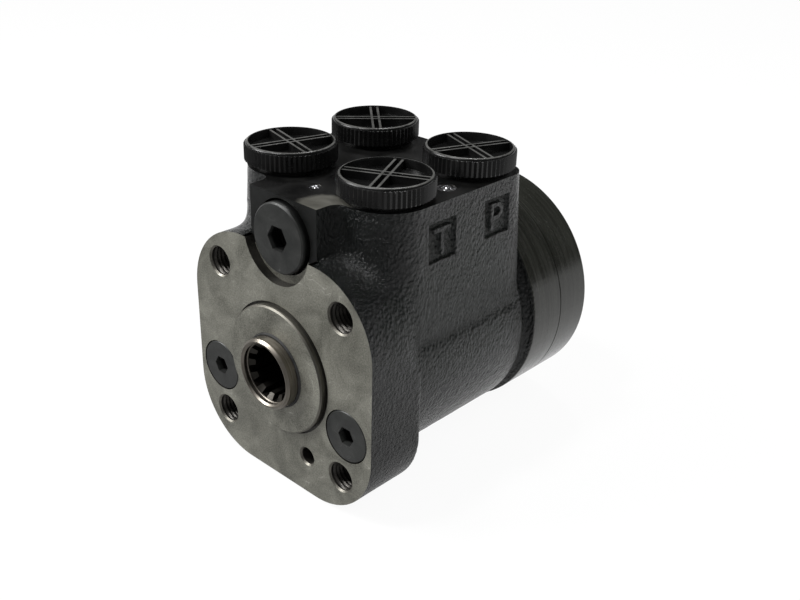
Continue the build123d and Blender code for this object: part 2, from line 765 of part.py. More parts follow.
def rotor_point(turn):
    """A point of the rotor's outline, which the ring's lobes roll round."""
    offset = lobe_radius + rotor_clearance
    x = lobe_pitch_radius * cos(turn) - eccentricity * cos(lobe_count * turn)
    z = lobe_pitch_radius * sin(turn) - eccentricity * sin(lobe_count * turn)
    along_x = -lobe_pitch_radius * sin(turn) + lobe_count * eccentricity * sin(lobe_count * turn)
    along_z = lobe_pitch_radius * cos(turn) - lobe_count * eccentricity * cos(lobe_count * turn)
    length = hypot(along_x, along_z)
    out_x = x - offset * along_z / length
    out_z = z + offset * along_x / length
    return (rotor_centre[0] - out_z, rotor_centre[1] + out_x)


def spline_tooth(inner, inner_half, outer, outer_half):
    """One straight-sided spline tooth between two radii."""
    flank = [(inner, inner_half), (outer, outer_half)]
    Polygon(*flank, (outer, -outer_half), (inner, -inner_half), align=None)


with BuildPart() as distributor_plate:
    along(casting_end, gear_start, rear_radius, hole=distributor_hole_radius)
    along(casting_end, gear_start, screw_radius + screw_hole_gap, screw_spots, mode=Mode.SUBTRACT)
    oil_spots = [on_circle(oil_hole_radius_out, a) for a in oil_hole_angles]
    along(casting_end, gear_start, oil_hole_radius, oil_spots, mode=Mode.SUBTRACT)
    o_ring_groove(gear_start, -1)
    soften_rim(distributor_plate, rear_radius, gear_start)
distributor_plate.part.label = "distributor_plate"
export_step(distributor_plate.part, "parts/distributor_plate.step")

with BuildPart() as gear_ring:
    with BuildSketch(across(gear_start)):
        Circle(rear_radius)
        Circle(cavity_radius, mode=Mode.SUBTRACT)
        with Locations(*[on_circle(lobe_pitch_radius, a) for a in screw_angles]):
            Circle(lobe_radius)
        with Locations(*screw_spots):
            Circle(screw_radius + screw_hole_gap, mode=Mode.SUBTRACT)
    extrude(amount=-gear_width)
    soften_rim(gear_ring, rear_radius, gear_start)
gear_ring.part.label = "gear_ring"
export_step(gear_ring.part, "parts/gear_ring.step")

with BuildPart() as rotor:
    with BuildSketch(across(gear_start + seat_gap)):
        with BuildLine():
            steps = 20 * (lobe_count - 1)
            Spline(*[rotor_point(radians(360 * i / steps)) for i in range(steps)], periodic=True)
        make_face()
        with Locations(rotor_centre):
            Circle(cardan_tip_radius + spline_gap, mode=Mode.SUBTRACT)
        with Locations(rotor_centre):
            with PolarLocations(0, cardan_spline_teeth, start_angle=180 / cardan_spline_teeth):
                spline_tooth(
                    cardan_root_radius + spline_gap,
                    rotor_tooth_half_width,
                    cardan_tip_radius + 2 * spline_gap,
                    rotor_root_half_width,
                )
    extrude(amount=-(gear_width - 2 * seat_gap))
    along(
        cover_start - spacer_thickness - 2 * seat_gap,
        cover_start,
        spacer_radius + running_gap,
        [rotor_centre],
        mode=Mode.SUBTRACT,
    )
rotor.part.label = "rotor"
export_step(rotor.part, "parts/rotor.step")

with BuildPart() as cardan_spacer:
    spacer_back = cover_start - seat_gap
    along(spacer_back - spacer_thickness, spacer_back, spacer_radius, [rotor_centre])
cardan_spacer.part.label = "cardan_spacer"
export_step(cardan_spacer.part, "parts/cardan_spacer.step")

cardan_axis = Vector(0, gear_middle - pin_y, eccentricity)
cardan_length = cardan_axis.length


def cardan_plane(distance):
    """The plane across the tilted cardan shaft, this far behind the cross pin."""
    origin = Vector(0, pin_y, 0) + cardan_axis.normalized() * distance
    return Plane(origin=origin, x_dir=(1, 0, 0), z_dir=cardan_axis)


with BuildPart() as cardan_shaft:
    low = cardan_length - cardan_spline_front
    high = cardan_length + cardan_spline_back
    with BuildSketch(cardan_plane(low)):
        Circle(cardan_root_radius)
        with PolarLocations(0, cardan_spline_teeth):
            spline_tooth(
                cardan_root_radius - cardan_root_overlap,
                cardan_root_half_width,
                cardan_tip_radius,
                cardan_tip_half_width,
            )
    extrude(amount=high - low)
    # barrel that crowns the teeth, so that they can rock in the rotor
    barrel_end = cardan_tip_radius - cardan_crown
    with BuildSketch(Plane(origin=(0, pin_y, 0), x_dir=cardan_axis, z_dir=(1, 0, 0))):
        with BuildLine():
            Line((low, 0), (low, barrel_end))
            ThreePointArc((low, barrel_end), (cardan_length, cardan_tip_radius), (high, barrel_end))
            Polyline((high, barrel_end), (high, 0), (low, 0))
        make_face()
    revolve(axis=Axis((0, pin_y, 0), cardan_axis), mode=Mode.INTERSECT)
    with BuildSketch(cardan_plane(cardan_head_radius)):
        Circle(cardan_shank_radius)
    extrude(amount=low - cardan_head_radius)
    fork = pin_radius + cardan_fork_end
    with BuildSketch(cardan_plane(-fork)):
        Circle(cardan_head_radius)
    extrude(amount=fork + cardan_head_radius + cardan_fork_end)
    with BuildSketch(cardan_plane(-fork)):
        Rectangle(2 * cardan_head_radius, 2 * (pin_radius + cardan_slot_gap))
    extrude(amount=fork, mode=Mode.SUBTRACT)
    with BuildSketch(Plane.YZ.offset(-cardan_head_radius)):
        with Locations((pin_y, 0)):
            Circle(pin_radius + cardan_slot_gap)
    extrude(amount=2 * cardan_head_radius, mode=Mode.SUBTRACT)
cardan_shaft.part.label = "cardan_shaft"
export_step(cardan_shaft.part, "parts/cardan_shaft.step")

with BuildPart() as end_cover:
    along(cover_start, cover_end, rear_radius)
    chamfer(end_cover.edges().filter_by(GeomType.CIRCLE).sort_by(Axis.Y)[-1], cover_chamfer)
    along(cover_start, cover_end, screw_radius + screw_hole_gap, screw_spots, mode=Mode.SUBTRACT)
    along(counterbore_floor, cover_end, screw_head_radius + loose_gap, screw_spots, mode=Mode.SUBTRACT)
    o_ring_groove(cover_start, 1)
end_cover.part.label = "end_cover"
export_step(end_cover.part, "parts/end_cover.step")

head_start = counterbore_floor + washer_thickness
head_end = head_start + screw_head_height


def cover_screw(spots):
    """Low-head socket screws through the gear set into the housing."""
    along(screw_tip, head_start, screw_radius, spots)
    along(head_start, head_end, screw_head_radius, spots)
    with BuildSketch(across(head_end)) as socket:
        with Locations(*spots):
            RegularPolygon(screw_socket / 2, 6, major_radius=False)
    extrude(socket.sketch, amount=screw_socket_depth, mode=Mode.SUBTRACT)


with BuildPart() as cover_screws:
    cover_screw(screw_spots[1:])
cover_screws.part.label = "cover_screws"
export_step(cover_screws.part, "parts/cover_screws.step")

with BuildPart() as pin_screw:
    cover_screw(screw_spots[:1])
    along(screw_tip - pin_reach, screw_tip, screw_pin_radius, screw_spots[:1])
pin_screw.part.label = "pin_screw"
export_step(pin_screw.part, "parts/pin_screw.step")

with BuildPart() as cover_washers:
    washer_radius = screw_head_radius - washer_rim_gap
    along(counterbore_floor, head_start, washer_radius, screw_spots, hole=screw_radius + washer_rim_gap)
cover_washers.part.label = "cover_washers"
export_step(cover_washers.part, "parts/cover_washers.step")

o_ring_places = {
    "housing": casting_end,
    "distributor": gear_start,
    "cover": cover_start + 2 * o_ring_section,
}
for seat, groove_mouth in o_ring_places.items():
    with BuildPart() as o_ring:
        with BuildSketch(Plane.XY):
            with Locations((o_ring_radius, groove_mouth - o_ring_section)):
                RegularPolygon(o_ring_section - o_ring_free, 8, major_radius=False, rotation=22.5)
        revolve(axis=Axis.Y)
    o_ring.part.label = f"o_ring_{seat}"
    export_step(o_ring.part, f"parts/o_ring_{seat}.step")


# ---- relief valve -------------------------------------------------------------------------
relief_head_end = relief_plug_face + relief_head_thickness
relief_pocket_floor = relief_thread_end - relief_pocket_depth
with BuildPart() as relief_plug:
    along(relief_plug_face, relief_head_end, relief_plug_radius, relief_spot)
    chamfer(relief_plug.edges().filter_by(GeomType.CIRCLE).sort_by(Axis.Y)[0], relief_chamfer)
    along(relief_head_end, relief_thread_end - plug_end_gap, relief_thread_radius, relief_spot)
    hex_socket(relief_plug_face, relief_socket_depth, relief_socket, relief_spot)
    pocket_radius = relief_spring_radius + relief_pocket_gap
    along(relief_pocket_floor, relief_thread_end, pocket_radius, relief_spot, mode=Mode.SUBTRACT)
relief_plug.part.label = "relief_plug"
export_step(relief_plug.part, "parts/relief_plug.step")

with BuildPart() as relief_washer:
    washer_hole = relief_thread_radius + washer_bore_gap
    washer_radius = relief_plug_radius - washer_gap
    along(relief_head_end, relief_recess_floor, washer_radius, relief_spot, hole=washer_hole)
relief_washer.part.label = "relief_washer"
export_step(relief_washer.part, "parts/relief_washer.step")

with BuildPart() as relief_spring:
    shoulder = relief_seat_y - valve_length
    coil(relief_spring_radius, relief_spring_wire, 8, relief_pocket_floor, shoulder, 0, relief_height)
relief_spring.part.label = "relief_spring"
export_step(relief_spring.part, "parts/relief_spring.step")


def poppet(guide_radius, seat_y, seat_radius, spigot_radius, x, z):
    """A guided valve cone along the shaft's direction, resting on a seat at seat_y."""
    shoulder = seat_y - valve_length
    neck_radius = guide_radius - valve_neck
    with BuildSketch(Plane(origin=(x, 0, z), x_dir=(1, 0, 0), z_dir=(0, 0, 1))) as section:
        with BuildLine():
            Polyline(
                (0, shoulder - valve_guide),
                (spigot_radius, shoulder - valve_guide),
                (spigot_radius, shoulder),
                (guide_radius, shoulder),
                (guide_radius, shoulder + valve_guide),
                (neck_radius, seat_y - (neck_radius - seat_radius)),
                (seat_radius, seat_y),
                (seat_radius - valve_tip, seat_y + valve_tip),
                (0, seat_y + valve_tip),
                close=True,
            )
        make_face()
    revolve(section.sketch, axis=Axis((x, 0, z), (0, 1, 0)))


with BuildPart() as relief_poppet:
    poppet(
        relief_bore_radius - valve_gap,
        relief_seat_y,
        relief_seat_hole + valve_seat_rim,
        relief_spring_radius - relief_spigot_gap,
        0,
        relief_height,
    )
relief_poppet.part.label = "relief_poppet"
export_step(relief_poppet.part, "parts/relief_poppet.step")

with BuildPart() as relief_seat:
    along(relief_seat_y, relief_bore_end, relief_bore_radius, relief_spot, hole=relief_seat_hole)
    seat_mouth = relief_seat.edges().filter_by(GeomType.CIRCLE).group_by(Axis.Y)[0]
    chamfer(seat_mouth.sort_by(SortBy.RADIUS)[0], valve_seat_chamfer)
relief_seat.part.label = "relief_seat"
export_step(relief_seat.part, "parts/relief_seat.step")


# ---- shock and suction valves -------------------------------------------------------------
for side_name, side in sides.items():
    x, z = side * shock_x, shock_z
    spot = [(x, z)]
    pocket_floor = shock_thread_end - shock_pocket_depth
    with BuildPart() as shock_plug:
        along(0, shock_head_thickness, shock_plug_radius, spot)
        chamfer(shock_plug.edges().filter_by(GeomType.CIRCLE).sort_by(Axis.Y)[0], shock_chamfer)
        along(shock_head_thickness, shock_thread_end - plug_end_gap, shock_thread_radius, spot)
        hex_socket(0, shock_socket_depth, shock_socket, spot)
        pocket_radius = shock_spring_radius + shock_pocket_gap
        along(pocket_floor, shock_thread_end, pocket_radius, spot, mode=Mode.SUBTRACT)
    shock_plug.part.label = f"shock_plug_{side_name}"
    export_step(shock_plug.part, f"parts/shock_plug_{side_name}.step")

    with BuildPart() as shock_washer:
        washer_hole = shock_thread_radius + washer_bore_gap
        washer_radius = shock_plug_radius - loose_gap
        along(shock_head_thickness, shock_recess_floor, washer_radius, spot, hole=washer_hole)
    shock_washer.part.label = f"shock_washer_{side_name}"
    export_step(shock_washer.part, f"parts/shock_washer_{side_name}.step")

    with BuildPart() as shock_spring:
        shoulder = shock_seat_y - valve_length
        coil(shock_spring_radius, shock_spring_wire, 9, pocket_floor, shoulder, x, z)
    shock_spring.part.label = f"shock_spring_{side_name}"
    export_step(shock_spring.part, f"parts/shock_spring_{side_name}.step")

    with BuildPart() as shock_cone:
        guide_radius = shock_bore_radius - valve_gap
        seat_radius = shock_seat_hole + valve_seat_rim
        poppet(guide_radius, shock_seat_y, seat_radius, shock_spring_radius - shock_spigot_gap, x, z)
    shock_cone.part.label = f"shock_cone_{side_name}"
    export_step(shock_cone.part, f"parts/shock_cone_{side_name}.step")

    with BuildPart() as shock_seat:
        along(shock_seat_y, shock_bore_end, shock_bore_radius, spot, hole=shock_seat_hole)
        seat_mouth = shock_seat.edges().filter_by(GeomType.CIRCLE).group_by(Axis.Y)[0]
        chamfer(seat_mouth.sort_by(SortBy.RADIUS)[0], valve_seat_chamfer)
    shock_seat.part.label = f"shock_seat_{side_name}"
    export_step(shock_seat.part, f"parts/shock_seat_{side_name}.step")

    suction_spot = next(s for s in suction_spots if s[0] * side > 0)
    ball_y = suction_seat_y + (suction_ball_radius**2 - suction_seat_radius**2) ** 0.5 + press_gap
    with BuildPart() as suction_ball:
        with Locations((suction_spot[0], ball_y, suction_spot[1])):
            Sphere(suction_ball_radius)
    suction_ball.part.label = f"suction_ball_{side_name}"
    export_step(suction_ball.part, f"parts/suction_ball_{side_name}.step")

with BuildPart() as suction_pins:
    pin_start = ball_y + suction_ball_radius + suction_travel + 2 * seat_gap
    along(pin_start, screw_tip - seat_gap, suction_pin_radius, suction_spots)
suction_pins.part.label = "suction_pins"
export_step(suction_pins.part, "parts/suction_pins.step")


# ---- emergency check valve in the pressure port -------------------------------------------
check_spot = [(port_x, rear_port_y)]
with BuildPart() as check_bushing:
    bushing_bottom = port_floor - check_bushing_height
    bushing_radius = check_bore_radius - valve_gap
    upright(bushing_bottom, port_floor, bushing_radius, check_spot, hole=check_bushing_hole)
check_bushing.part.label = "check_bushing"
export_step(check_bushing.part, "parts/check_bushing.step")

with BuildPart() as check_ball:
    with Locations((port_x, rear_port_y, check_floor + check_ball_radius + press_gap)):
        Sphere(check_ball_radius)
check_ball.part.label = "check_ball"
export_step(check_ball.part, "parts/check_ball.step")

with BuildPart() as gallery_plugs:
    for plug_x, plug_y, plug_radius in gallery_plug_spots:
        plug_top = port_face_height - gallery_plug_drop
        dish_floor = plug_top - gallery_plug_dish
        plug_spot = [(plug_x, plug_y)]
        upright(plug_top - gallery_plug_length, plug_top, plug_radius - press_gap, plug_spot)
        upright(dish_floor, plug_top, plug_radius * 0.66, plug_spot, mode=Mode.SUBTRACT)
        with Locations((plug_x, plug_y, dish_floor - plug_radius * 0.3)):
            Sphere(plug_radius * 0.62)
gallery_plugs.part.label = "gallery_plugs"
export_step(gallery_plugs.part, "parts/gallery_plugs.step")


# ---- port caps ----------------------------------------------------------------------------
cap_top = port_face_height + cap_height
band_bottom = port_face_height + cap_neck_height
recess_radius = cap_radius - cap_rim
for place, (cap_x, cap_y) in port_spots.items():
    cap_spot = [(cap_x, cap_y)]
    with BuildPart() as port_cap:
        # rounded rim, then the knurled band: ridges and valleys by turns round the head
        upright(band_bottom, cap_top, cap_radius - cap_ridge_depth, cap_spot)
        fillet(port_cap.edges().filter_by(GeomType.CIRCLE).sort_by(Axis.Z)[-1], cap_band_top)
        with BuildSketch(Plane.XY.offset(band_bottom)):
            with Locations((cap_x, cap_y)):
                corners = []
                for i in range(2 * cap_ridges):
                    corner_radius = cap_radius - cap_ridge_depth * (i % 2)
                    corners.append(on_circle(corner_radius, 180 / cap_ridges * i))
                Polygon(*corners, align=None)
        extrude(amount=cap_height - cap_neck_height - cap_band_top)
        # neck and stem under the band
        upright(port_face_height, band_bottom, cap_neck_radius, cap_spot)
        stem_bottom = port_face_height - cap_stem_length
        stem_radius = port_radius - cap_stem_gap
        upright(stem_bottom, port_face_height, stem_radius, cap_spot)
        floor_height = cap_top - cap_floor_depth
        upright(floor_height, cap_top, recess_radius, cap_spot, mode=Mode.SUBTRACT)
        upright(stem_bottom, floor_height - cap_web, stem_radius - cap_wall, cap_spot, mode=Mode.SUBTRACT)
        # two double ribs crossed over the floor
        rib_length = 2 * (recess_radius**2 - (cap_rib_spacing / 2 + cap_rib) ** 2) ** 0.5 + 0.2
        with BuildSketch(Plane.XY.offset(floor_height)):
            for turn in (0, 90):
                with Locations(Location((cap_x, cap_y, 0), (0, 0, cap_turns[place] + turn))):
                    with Locations((0, cap_rib_spacing / 2), (0, -cap_rib_spacing / 2)):
                        Rectangle(rib_length, cap_rib)
        extrude(amount=cap_floor_depth - cap_rib_drop)
    port_cap.part.label = f"port_cap_{place}"
    export_step(port_cap.part, f"parts/port_cap_{place}.step")
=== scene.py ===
"""Looks for an orbital steering unit: casting, machined faces, threads, finishes, studio and camera.

Every size is in millimetres in the tables and becomes metres where a mesh or a light is made.
"""

from math import cos, exp, hypot, pi, radians, sin, tan, tau

import bmesh
import bpy
from mathutils import Matrix, Vector, noise
from mathutils.bvhtree import BVHTree


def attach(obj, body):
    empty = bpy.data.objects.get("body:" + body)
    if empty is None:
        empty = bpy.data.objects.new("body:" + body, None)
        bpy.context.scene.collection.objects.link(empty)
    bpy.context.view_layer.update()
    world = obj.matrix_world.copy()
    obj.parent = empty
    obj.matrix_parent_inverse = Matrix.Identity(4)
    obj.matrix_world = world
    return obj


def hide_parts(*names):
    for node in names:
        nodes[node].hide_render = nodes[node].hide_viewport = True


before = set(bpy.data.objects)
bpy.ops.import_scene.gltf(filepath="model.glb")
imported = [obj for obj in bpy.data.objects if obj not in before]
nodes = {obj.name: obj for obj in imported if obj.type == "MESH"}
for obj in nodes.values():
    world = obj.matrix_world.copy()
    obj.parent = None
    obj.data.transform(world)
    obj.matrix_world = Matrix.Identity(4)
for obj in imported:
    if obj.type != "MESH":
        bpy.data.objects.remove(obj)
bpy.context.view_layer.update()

MM = 0.001


# ---- sizes that the solids share, in millimetres ------------------------------------------
FLANGE_HALF_WIDTH = 43.0
FLANGE_TOP = 42.5
FLANGE_BOTTOM = -43.5
FLANGE_CORNER = 26.0
FLANGE_BACK = 22.5
PORT_FACE = 59.5
BLOCK_HALF_WIDTH = 37.0
BLOCK_FRONT = 12.0
BLOCK_BACK = 80.0
BLOCK_FRONT_CORNER = 15.0
BLOCK_BACK_CORNER = 8.0
BLOCK_DRAFT = 3.0  # degrees
NOSE_HALF_WIDTH = 15.5
NOSE_FACE = 3.3
NOSE_FOOT = 30.0
REAR_RADIUS = 42.5
REAR_REST = -42.5
REAR_LOWEST_Y = 115.6
CASTING_END = 93.0
COLUMN_HOLE = 29.17
COLUMN_RADIUS = 5.0
PORTS = {
    "front_right": (22.0, 26.5),
    "front_left": (-22.0, 26.5),
    "rear_right": (22.0, 66.5),
    "rear_left": (-22.0, 66.5),
}
MOUTH_RADIUS = 10.48
SOCKET_RADIUS = 10.45
CAP_RIB_TOP = 67.2
CAP_CREST_RADIUS = 15.45

# ---- sizes of the looks, in millimetres ---------------------------------------------------
# the lit corner of the port face, the only place without painted shade: its middle, its reach, the width of
# its fade and its raggedness
LIT_CORNER = (13.5, 9.0, PORT_FACE)
LIT_CORNER_REACH = 10.8
LIT_CORNER_FADE = 2.0
LIT_CORNER_RAGGEDNESS = 8.0
# a depth that no part reaches, so that the screws get no painted shade
NOWHERE = 300.0

# the cast skin: stock on its machined faces, grid, rounds of softening, and how far and how fully its
# points are pulled back out
STOCK = 4.0
CAST_VOXEL = 0.6
CAST_SOFTENING = 6
CAST_PULL_REACH = 1.1
CAST_PULL = 0.75
# the soft corner where the block stands on the flange: reach and rounds of smoothing
FOOT_REACH = 7.5
FOOT_ROUNDS = 150
# the lumps: (noise scale, height) of each, and the width of the calm strip along machined rims
COARSE_LUMPS = (330, 0.06)
FINE_LUMPS = (900, 0.05)
CALM_RIM = 2.5
# the crease along the side walls
CREASE_HEIGHT = 12.6
CREASE_HALF_WIDTH = 1.5
CREASE_DEPTH = 0.55
COLLAR_START = 84.0

# the machined faces: what the skin hides, what stays of scraps, and where each finish lies
PAINTED_GAP = 1.7
SMALLEST_SCRAP = 120  # points
FRONT_BORE_RADIUS = 25.5
FRONT_BORE_DEPTH = 12.0
PILOT_RING = (22.0, 25.5)
PILOT_WALL = (22.3, 22.7)
PILOT_GROOVE = (22.7, 23.6)
EDGE_CUT_DEPTH = 1.6
HOLE_MOUTH_DEPTH = 0.7
# the finishes of the casting and of a port cap, in the order of their material slots
# the finish of the nose and the port face is painted shade, all but one lit corner
PAINT, IRON, BORE, PAINTED_SHADE, CUT, COLLAR = range(6)
# a cap's edge and crest finishes are lighter plastic, as painted highlights
CAP_SKIN, CAP_EDGE, CAP_CREST = range(3)
MOULDED_RADIUS = 0.24

# threads: mouth radius, crest radius, pitch, start and end down the hole
COLUMN_THREAD = (COLUMN_RADIUS, 4.3, 1.5, 0.7, 16.0)
PORT_THREAD = (MOUTH_RADIUS, 9.6, 1.8, 45.0, 54.0)
THREAD_STEPS = 40  # a turn
THREAD_RUN_OUT = 0.3  # turns
THREAD_SEAT = 0.02
# the ridge's section: place across it in pitches, and share of the ridge's height
THREAD_PROFILE = ((-0.46, 0.0), (-0.08, 1.0), (0.08, 1.0), (0.46, 0.0))

# ---- the camera and the studio ------------------------------------------------------------
CAMERA_PLACE = (223.64, -185.51, 169.98)
CAMERA_TURN = (42.54, 26.52, 1.59)  # azimuth, elevation and roll in degrees
CAMERA_LENS = 45.32
CAMERA_SENSOR = 36.0
FLOOR_REACH = 3000.0
# name, place and aim in metres, width in metres, power in watts, seen in gloss or not
SOFT_LIGHTS = (
    ("overhead", (-0.15, -0.32, 0.86), (0, 0.04, 0.02), 0.11, 4.0, True),
    ("high behind", (-0.25, 0.45, 0.85), (0, 0.04, 0.02), 0.12, 2.2, True),
    ("front left", (-0.6, -0.5, 0.6), (0, 0.03, 0), 0.4, 9.0, True),
    ("back right", (0.5, 0.75, 0.65), (0, 0.06, 0), 0.3, 3.0, False),
)


# ---- node groups --------------------------------------------------------------------------
def shader_group(name, inputs, outputs):
    """A node group with number inputs {name: value} and number outputs (names)."""
    group = bpy.data.node_groups.new(name, "ShaderNodeTree")
    for label, value in inputs.items():
        socket = group.interface.new_socket(label, in_out="INPUT", socket_type="NodeSocketFloat")
        socket.default_value = value
    for label in outputs:
        group.interface.new_socket(label, in_out="OUTPUT", socket_type="NodeSocketFloat")
    return group, group.nodes.new("NodeGroupInput"), group.nodes.new("NodeGroupOutput")


def place(tree, kind, **values):
    """A new node in a tree: attributes by their names, sockets by their labels."""
    node = tree.nodes.new(kind)
    for key, value in values.items():
        if hasattr(node, key):
            setattr(node, key, value)
        else:
            node.inputs[key.replace("_", " ")].default_value = value
    return node


def maths(tree, operation, first, second=None):
    """A Math node fed by sockets or numbers. Returns its output."""
    node = tree.nodes.new("ShaderNodeMath")
    node.operation = operation
    for socket, value in zip(node.inputs, (first, second)):
        if value is None:
            continue
        if isinstance(value, (int, float)):
            socket.default_value = value
        else:
            tree.links.new(value, socket)
    return node.outputs[0]


def spread(tree, value, low, high, to_low=0.0, to_high=1.0):
    """A Map Range node, clamped. Returns its output."""
    node = place(
        tree, "ShaderNodeMapRange", clamp=True, From_Min=low, From_Max=high, To_Min=to_low, To_Max=to_high
    )
    tree.links.new(value, node.inputs["Value"])
    return node.outputs["Result"]


def parts_of(tree, kind="Object"):
    """The three numbers of a place on the part, of its normal or of a direction."""
    spot = tree.nodes.new("ShaderNodeTexCoord")
    parts = tree.nodes.new("ShaderNodeSeparateXYZ")
    tree.links.new(spot.outputs[kind], parts.inputs[0])
    return parts.outputs


def from_shaft_axis(tree, parts):
    """Distance from the shaft's axis."""
    squares = [maths(tree, "MULTIPLY", parts[axis], parts[axis]) for axis in ("X", "Z")]
    return maths(tree, "SQRT", maths(tree, "ADD", *squares))


def make_cast_grain():
    """Sand-cast skin under paint: fine orange peel, broader lumps and a few pits."""
    group, given, made = shader_group("cast grain", {"Grain": 900.0, "Lumps": 160.0}, ("Height", "Pits"))
    place_on_part = group.nodes.new("ShaderNodeTexCoord")
    drawn_out = group.nodes.new("ShaderNodeMapping")
    drawn_out.inputs["Scale"].default_value = (1.0, 1.0, 0.8)
    drawn_out.inputs["Rotation"].default_value = (0.35, 0.0, 0.2)
    group.links.new(place_on_part.outputs["Object"], drawn_out.inputs["Vector"])
    grain = place(group, "ShaderNodeTexNoise", Detail=5.0, Roughness=0.62, Distortion=0.35)
    lumps = place(group, "ShaderNodeTexNoise", Detail=3.0, Roughness=0.5)
    cells = place(group, "ShaderNodeTexVoronoi", feature="SMOOTH_F1", Smoothness=0.6)
    for texture in (grain, lumps, cells):
        group.links.new(drawn_out.outputs[0], texture.inputs["Vector"])
    group.links.new(given.outputs["Grain"], grain.inputs["Scale"])
    group.links.new(given.outputs["Lumps"], lumps.inputs["Scale"])
    group.links.new(maths(group, "MULTIPLY", given.outputs["Grain"], 0.62), cells.inputs["Scale"])
    fine = maths(group, "MULTIPLY", grain.outputs[0], 0.55)
    peel = maths(group, "MULTIPLY", cells.outputs["Distance"], 0.5)
    broad = maths(group, "MULTIPLY", lumps.outputs[0], 0.5)
    height = maths(group, "ADD", maths(group, "ADD", fine, peel), broad)
    group.links.new(height, made.inputs["Height"])
    group.links.new(spread(group, grain.outputs[0], 0.42, 0.3), made.inputs["Pits"])
    return group


def make_turning_lines():
    """Fine rings left by turning about the shaft: by height on a round wall, by radius on an end face."""
    group, given, made = shader_group("turning lines", {"Pitch": 0.4, "Waver": 0.15}, ("Height", "Streaks"))
    parts = parts_of(group)
    end_face = spread(group, maths(group, "ABSOLUTE", parts_of(group, "Normal")["Y"]), 0.6, 0.8)
    by_radius = maths(group, "MULTIPLY", from_shaft_axis(group, parts), end_face)
    by_height = maths(group, "MULTIPLY", parts["Y"], maths(group, "SUBTRACT", 1.0, end_face))
    in_mm = maths(group, "MULTIPLY", maths(group, "ADD", by_radius, by_height), 1 / MM)
    steps = maths(group, "DIVIDE", in_mm, given.outputs["Pitch"])
    lines = place(group, "ShaderNodeTexNoise", noise_dimensions="1D", Detail=3.0, Roughness=0.7, Scale=1.0)
    group.links.new(steps, lines.inputs["W"])
    streak_place = group.nodes.new("ShaderNodeCombineXYZ")
    group.links.new(maths(group, "MULTIPLY", steps, 0.35), streak_place.inputs["X"])
    turn = maths(group, "ARCTAN2", parts["Z"], parts["X"])
    group.links.new(maths(group, "MULTIPLY", turn, given.outputs["Waver"]), streak_place.inputs["Y"])
    streaks = place(group, "ShaderNodeTexNoise", Detail=2.0, Scale=1.0)
    group.links.new(streak_place.outputs[0], streaks.inputs["Vector"])
    group.links.new(lines.outputs[0], made.inputs["Height"])
    group.links.new(streaks.outputs[0], made.inputs["Streaks"])
    return group


def make_handling_marks():
    """Oily smudges, dry patches and thin scratches from handling."""
    group, given, made = shader_group(
        "handling marks", {"Size": 60.0, "Scratch density": 0.5}, ("Smudge", "Speckle", "Scratch")
    )
    place_on_part = group.nodes.new("ShaderNodeTexCoord")
    smudge = place(group, "ShaderNodeTexNoise", Detail=6.0, Roughness=0.62, Distortion=0.7)
    speckle = place(group, "ShaderNodeTexNoise", Detail=4.0, Roughness=0.75, Scale=1900.0)
    for texture in (smudge, speckle):
        group.links.new(place_on_part.outputs["Object"], texture.inputs["Vector"])
    group.links.new(given.outputs["Size"], smudge.inputs["Scale"])
    tilted = place(group, "ShaderNodeMapping")
    tilted.inputs["Rotation"].default_value = (0.5, 0.9, 0.4)
    tilted.inputs["Scale"].default_value = (1.0, 14.0, 1.6)
    group.links.new(place_on_part.outputs["Object"], tilted.inputs["Vector"])
    strokes = place(group, "ShaderNodeTexNoise", Detail=1.0, Scale=150.0, Distortion=0.3)
    group.links.new(tilted.outputs[0], strokes.inputs["Vector"])
    edge = maths(group, "ABSOLUTE", maths(group, "SUBTRACT", strokes.outputs[0], 0.5))
    thin = spread(group, edge, 0.006, 0.0)
    patch = spread(group, smudge.outputs[0], 0.52, 0.6)
    scratch = maths(group, "MULTIPLY", thin, patch)
    scratch = maths(group, "MULTIPLY", scratch, given.outputs["Scratch density"])
    group.links.new(smudge.outputs[0], made.inputs["Smudge"])
    group.links.new(speckle.outputs[0], made.inputs["Speckle"])
    group.links.new(scratch, made.inputs["Scratch"])
    return group


cast_grain = make_cast_grain()
turning_lines = make_turning_lines()
handling_marks = make_handling_marks()


# ---- materials ----------------------------------------------------------------------------
def new_finish(name, **values):
    """A material with its Principled shader. Uniform values go straight onto the shader's sockets."""
    finish = bpy.data.materials.new(name)
    finish.use_nodes = True
    shader = finish.node_tree.nodes["Principled BSDF"]
    for key, value in values.items():
        shader.inputs[key.replace("_", " ")].default_value = value
    return finish, finish.node_tree, shader


def use_group(tree, group, **values):
    """Place a node group in a material with its own values."""
    node = tree.nodes.new("ShaderNodeGroup")
    node.node_tree = group
    for key, value in values.items():
        node.inputs[key.replace("_", " ")].default_value = value
    return node


def blend_colours(tree, mask, low, high):
    """Colour between two by a mask. The mask may be a number or a socket, each end a colour or a socket."""
    mix = tree.nodes.new("ShaderNodeMix")
    mix.data_type = "RGBA"
    if isinstance(mask, float):
        mix.inputs["Factor"].default_value = mask
    else:
        tree.links.new(mask, mix.inputs["Factor"])
    for socket, colour in ((mix.inputs[6], low), (mix.inputs[7], high)):
        if isinstance(colour, tuple):
            socket.default_value = (*colour, 1.0)
        else:
            tree.links.new(colour, socket)
    return mix.outputs[2]


def raise_by(tree, shader, height, distance, strength=1.0):
    """Feed a height into the shader's normal."""
    bump = place(tree, "ShaderNodeBump", Strength=strength, Distance=distance)
    tree.links.new(height, bump.inputs["Height"])
    tree.links.new(bump.outputs["Normal"], shader.inputs["Normal"])


def set_skin(tree, shader, colour, mask, smooth, rough):
    """Feed a colour into the shader, and a roughness between two values by a mask."""
    tree.links.new(colour, shader.inputs["Base Color"])
    tree.links.new(spread(tree, mask, 0.3, 0.7, smooth, rough), shader.inputs["Roughness"])


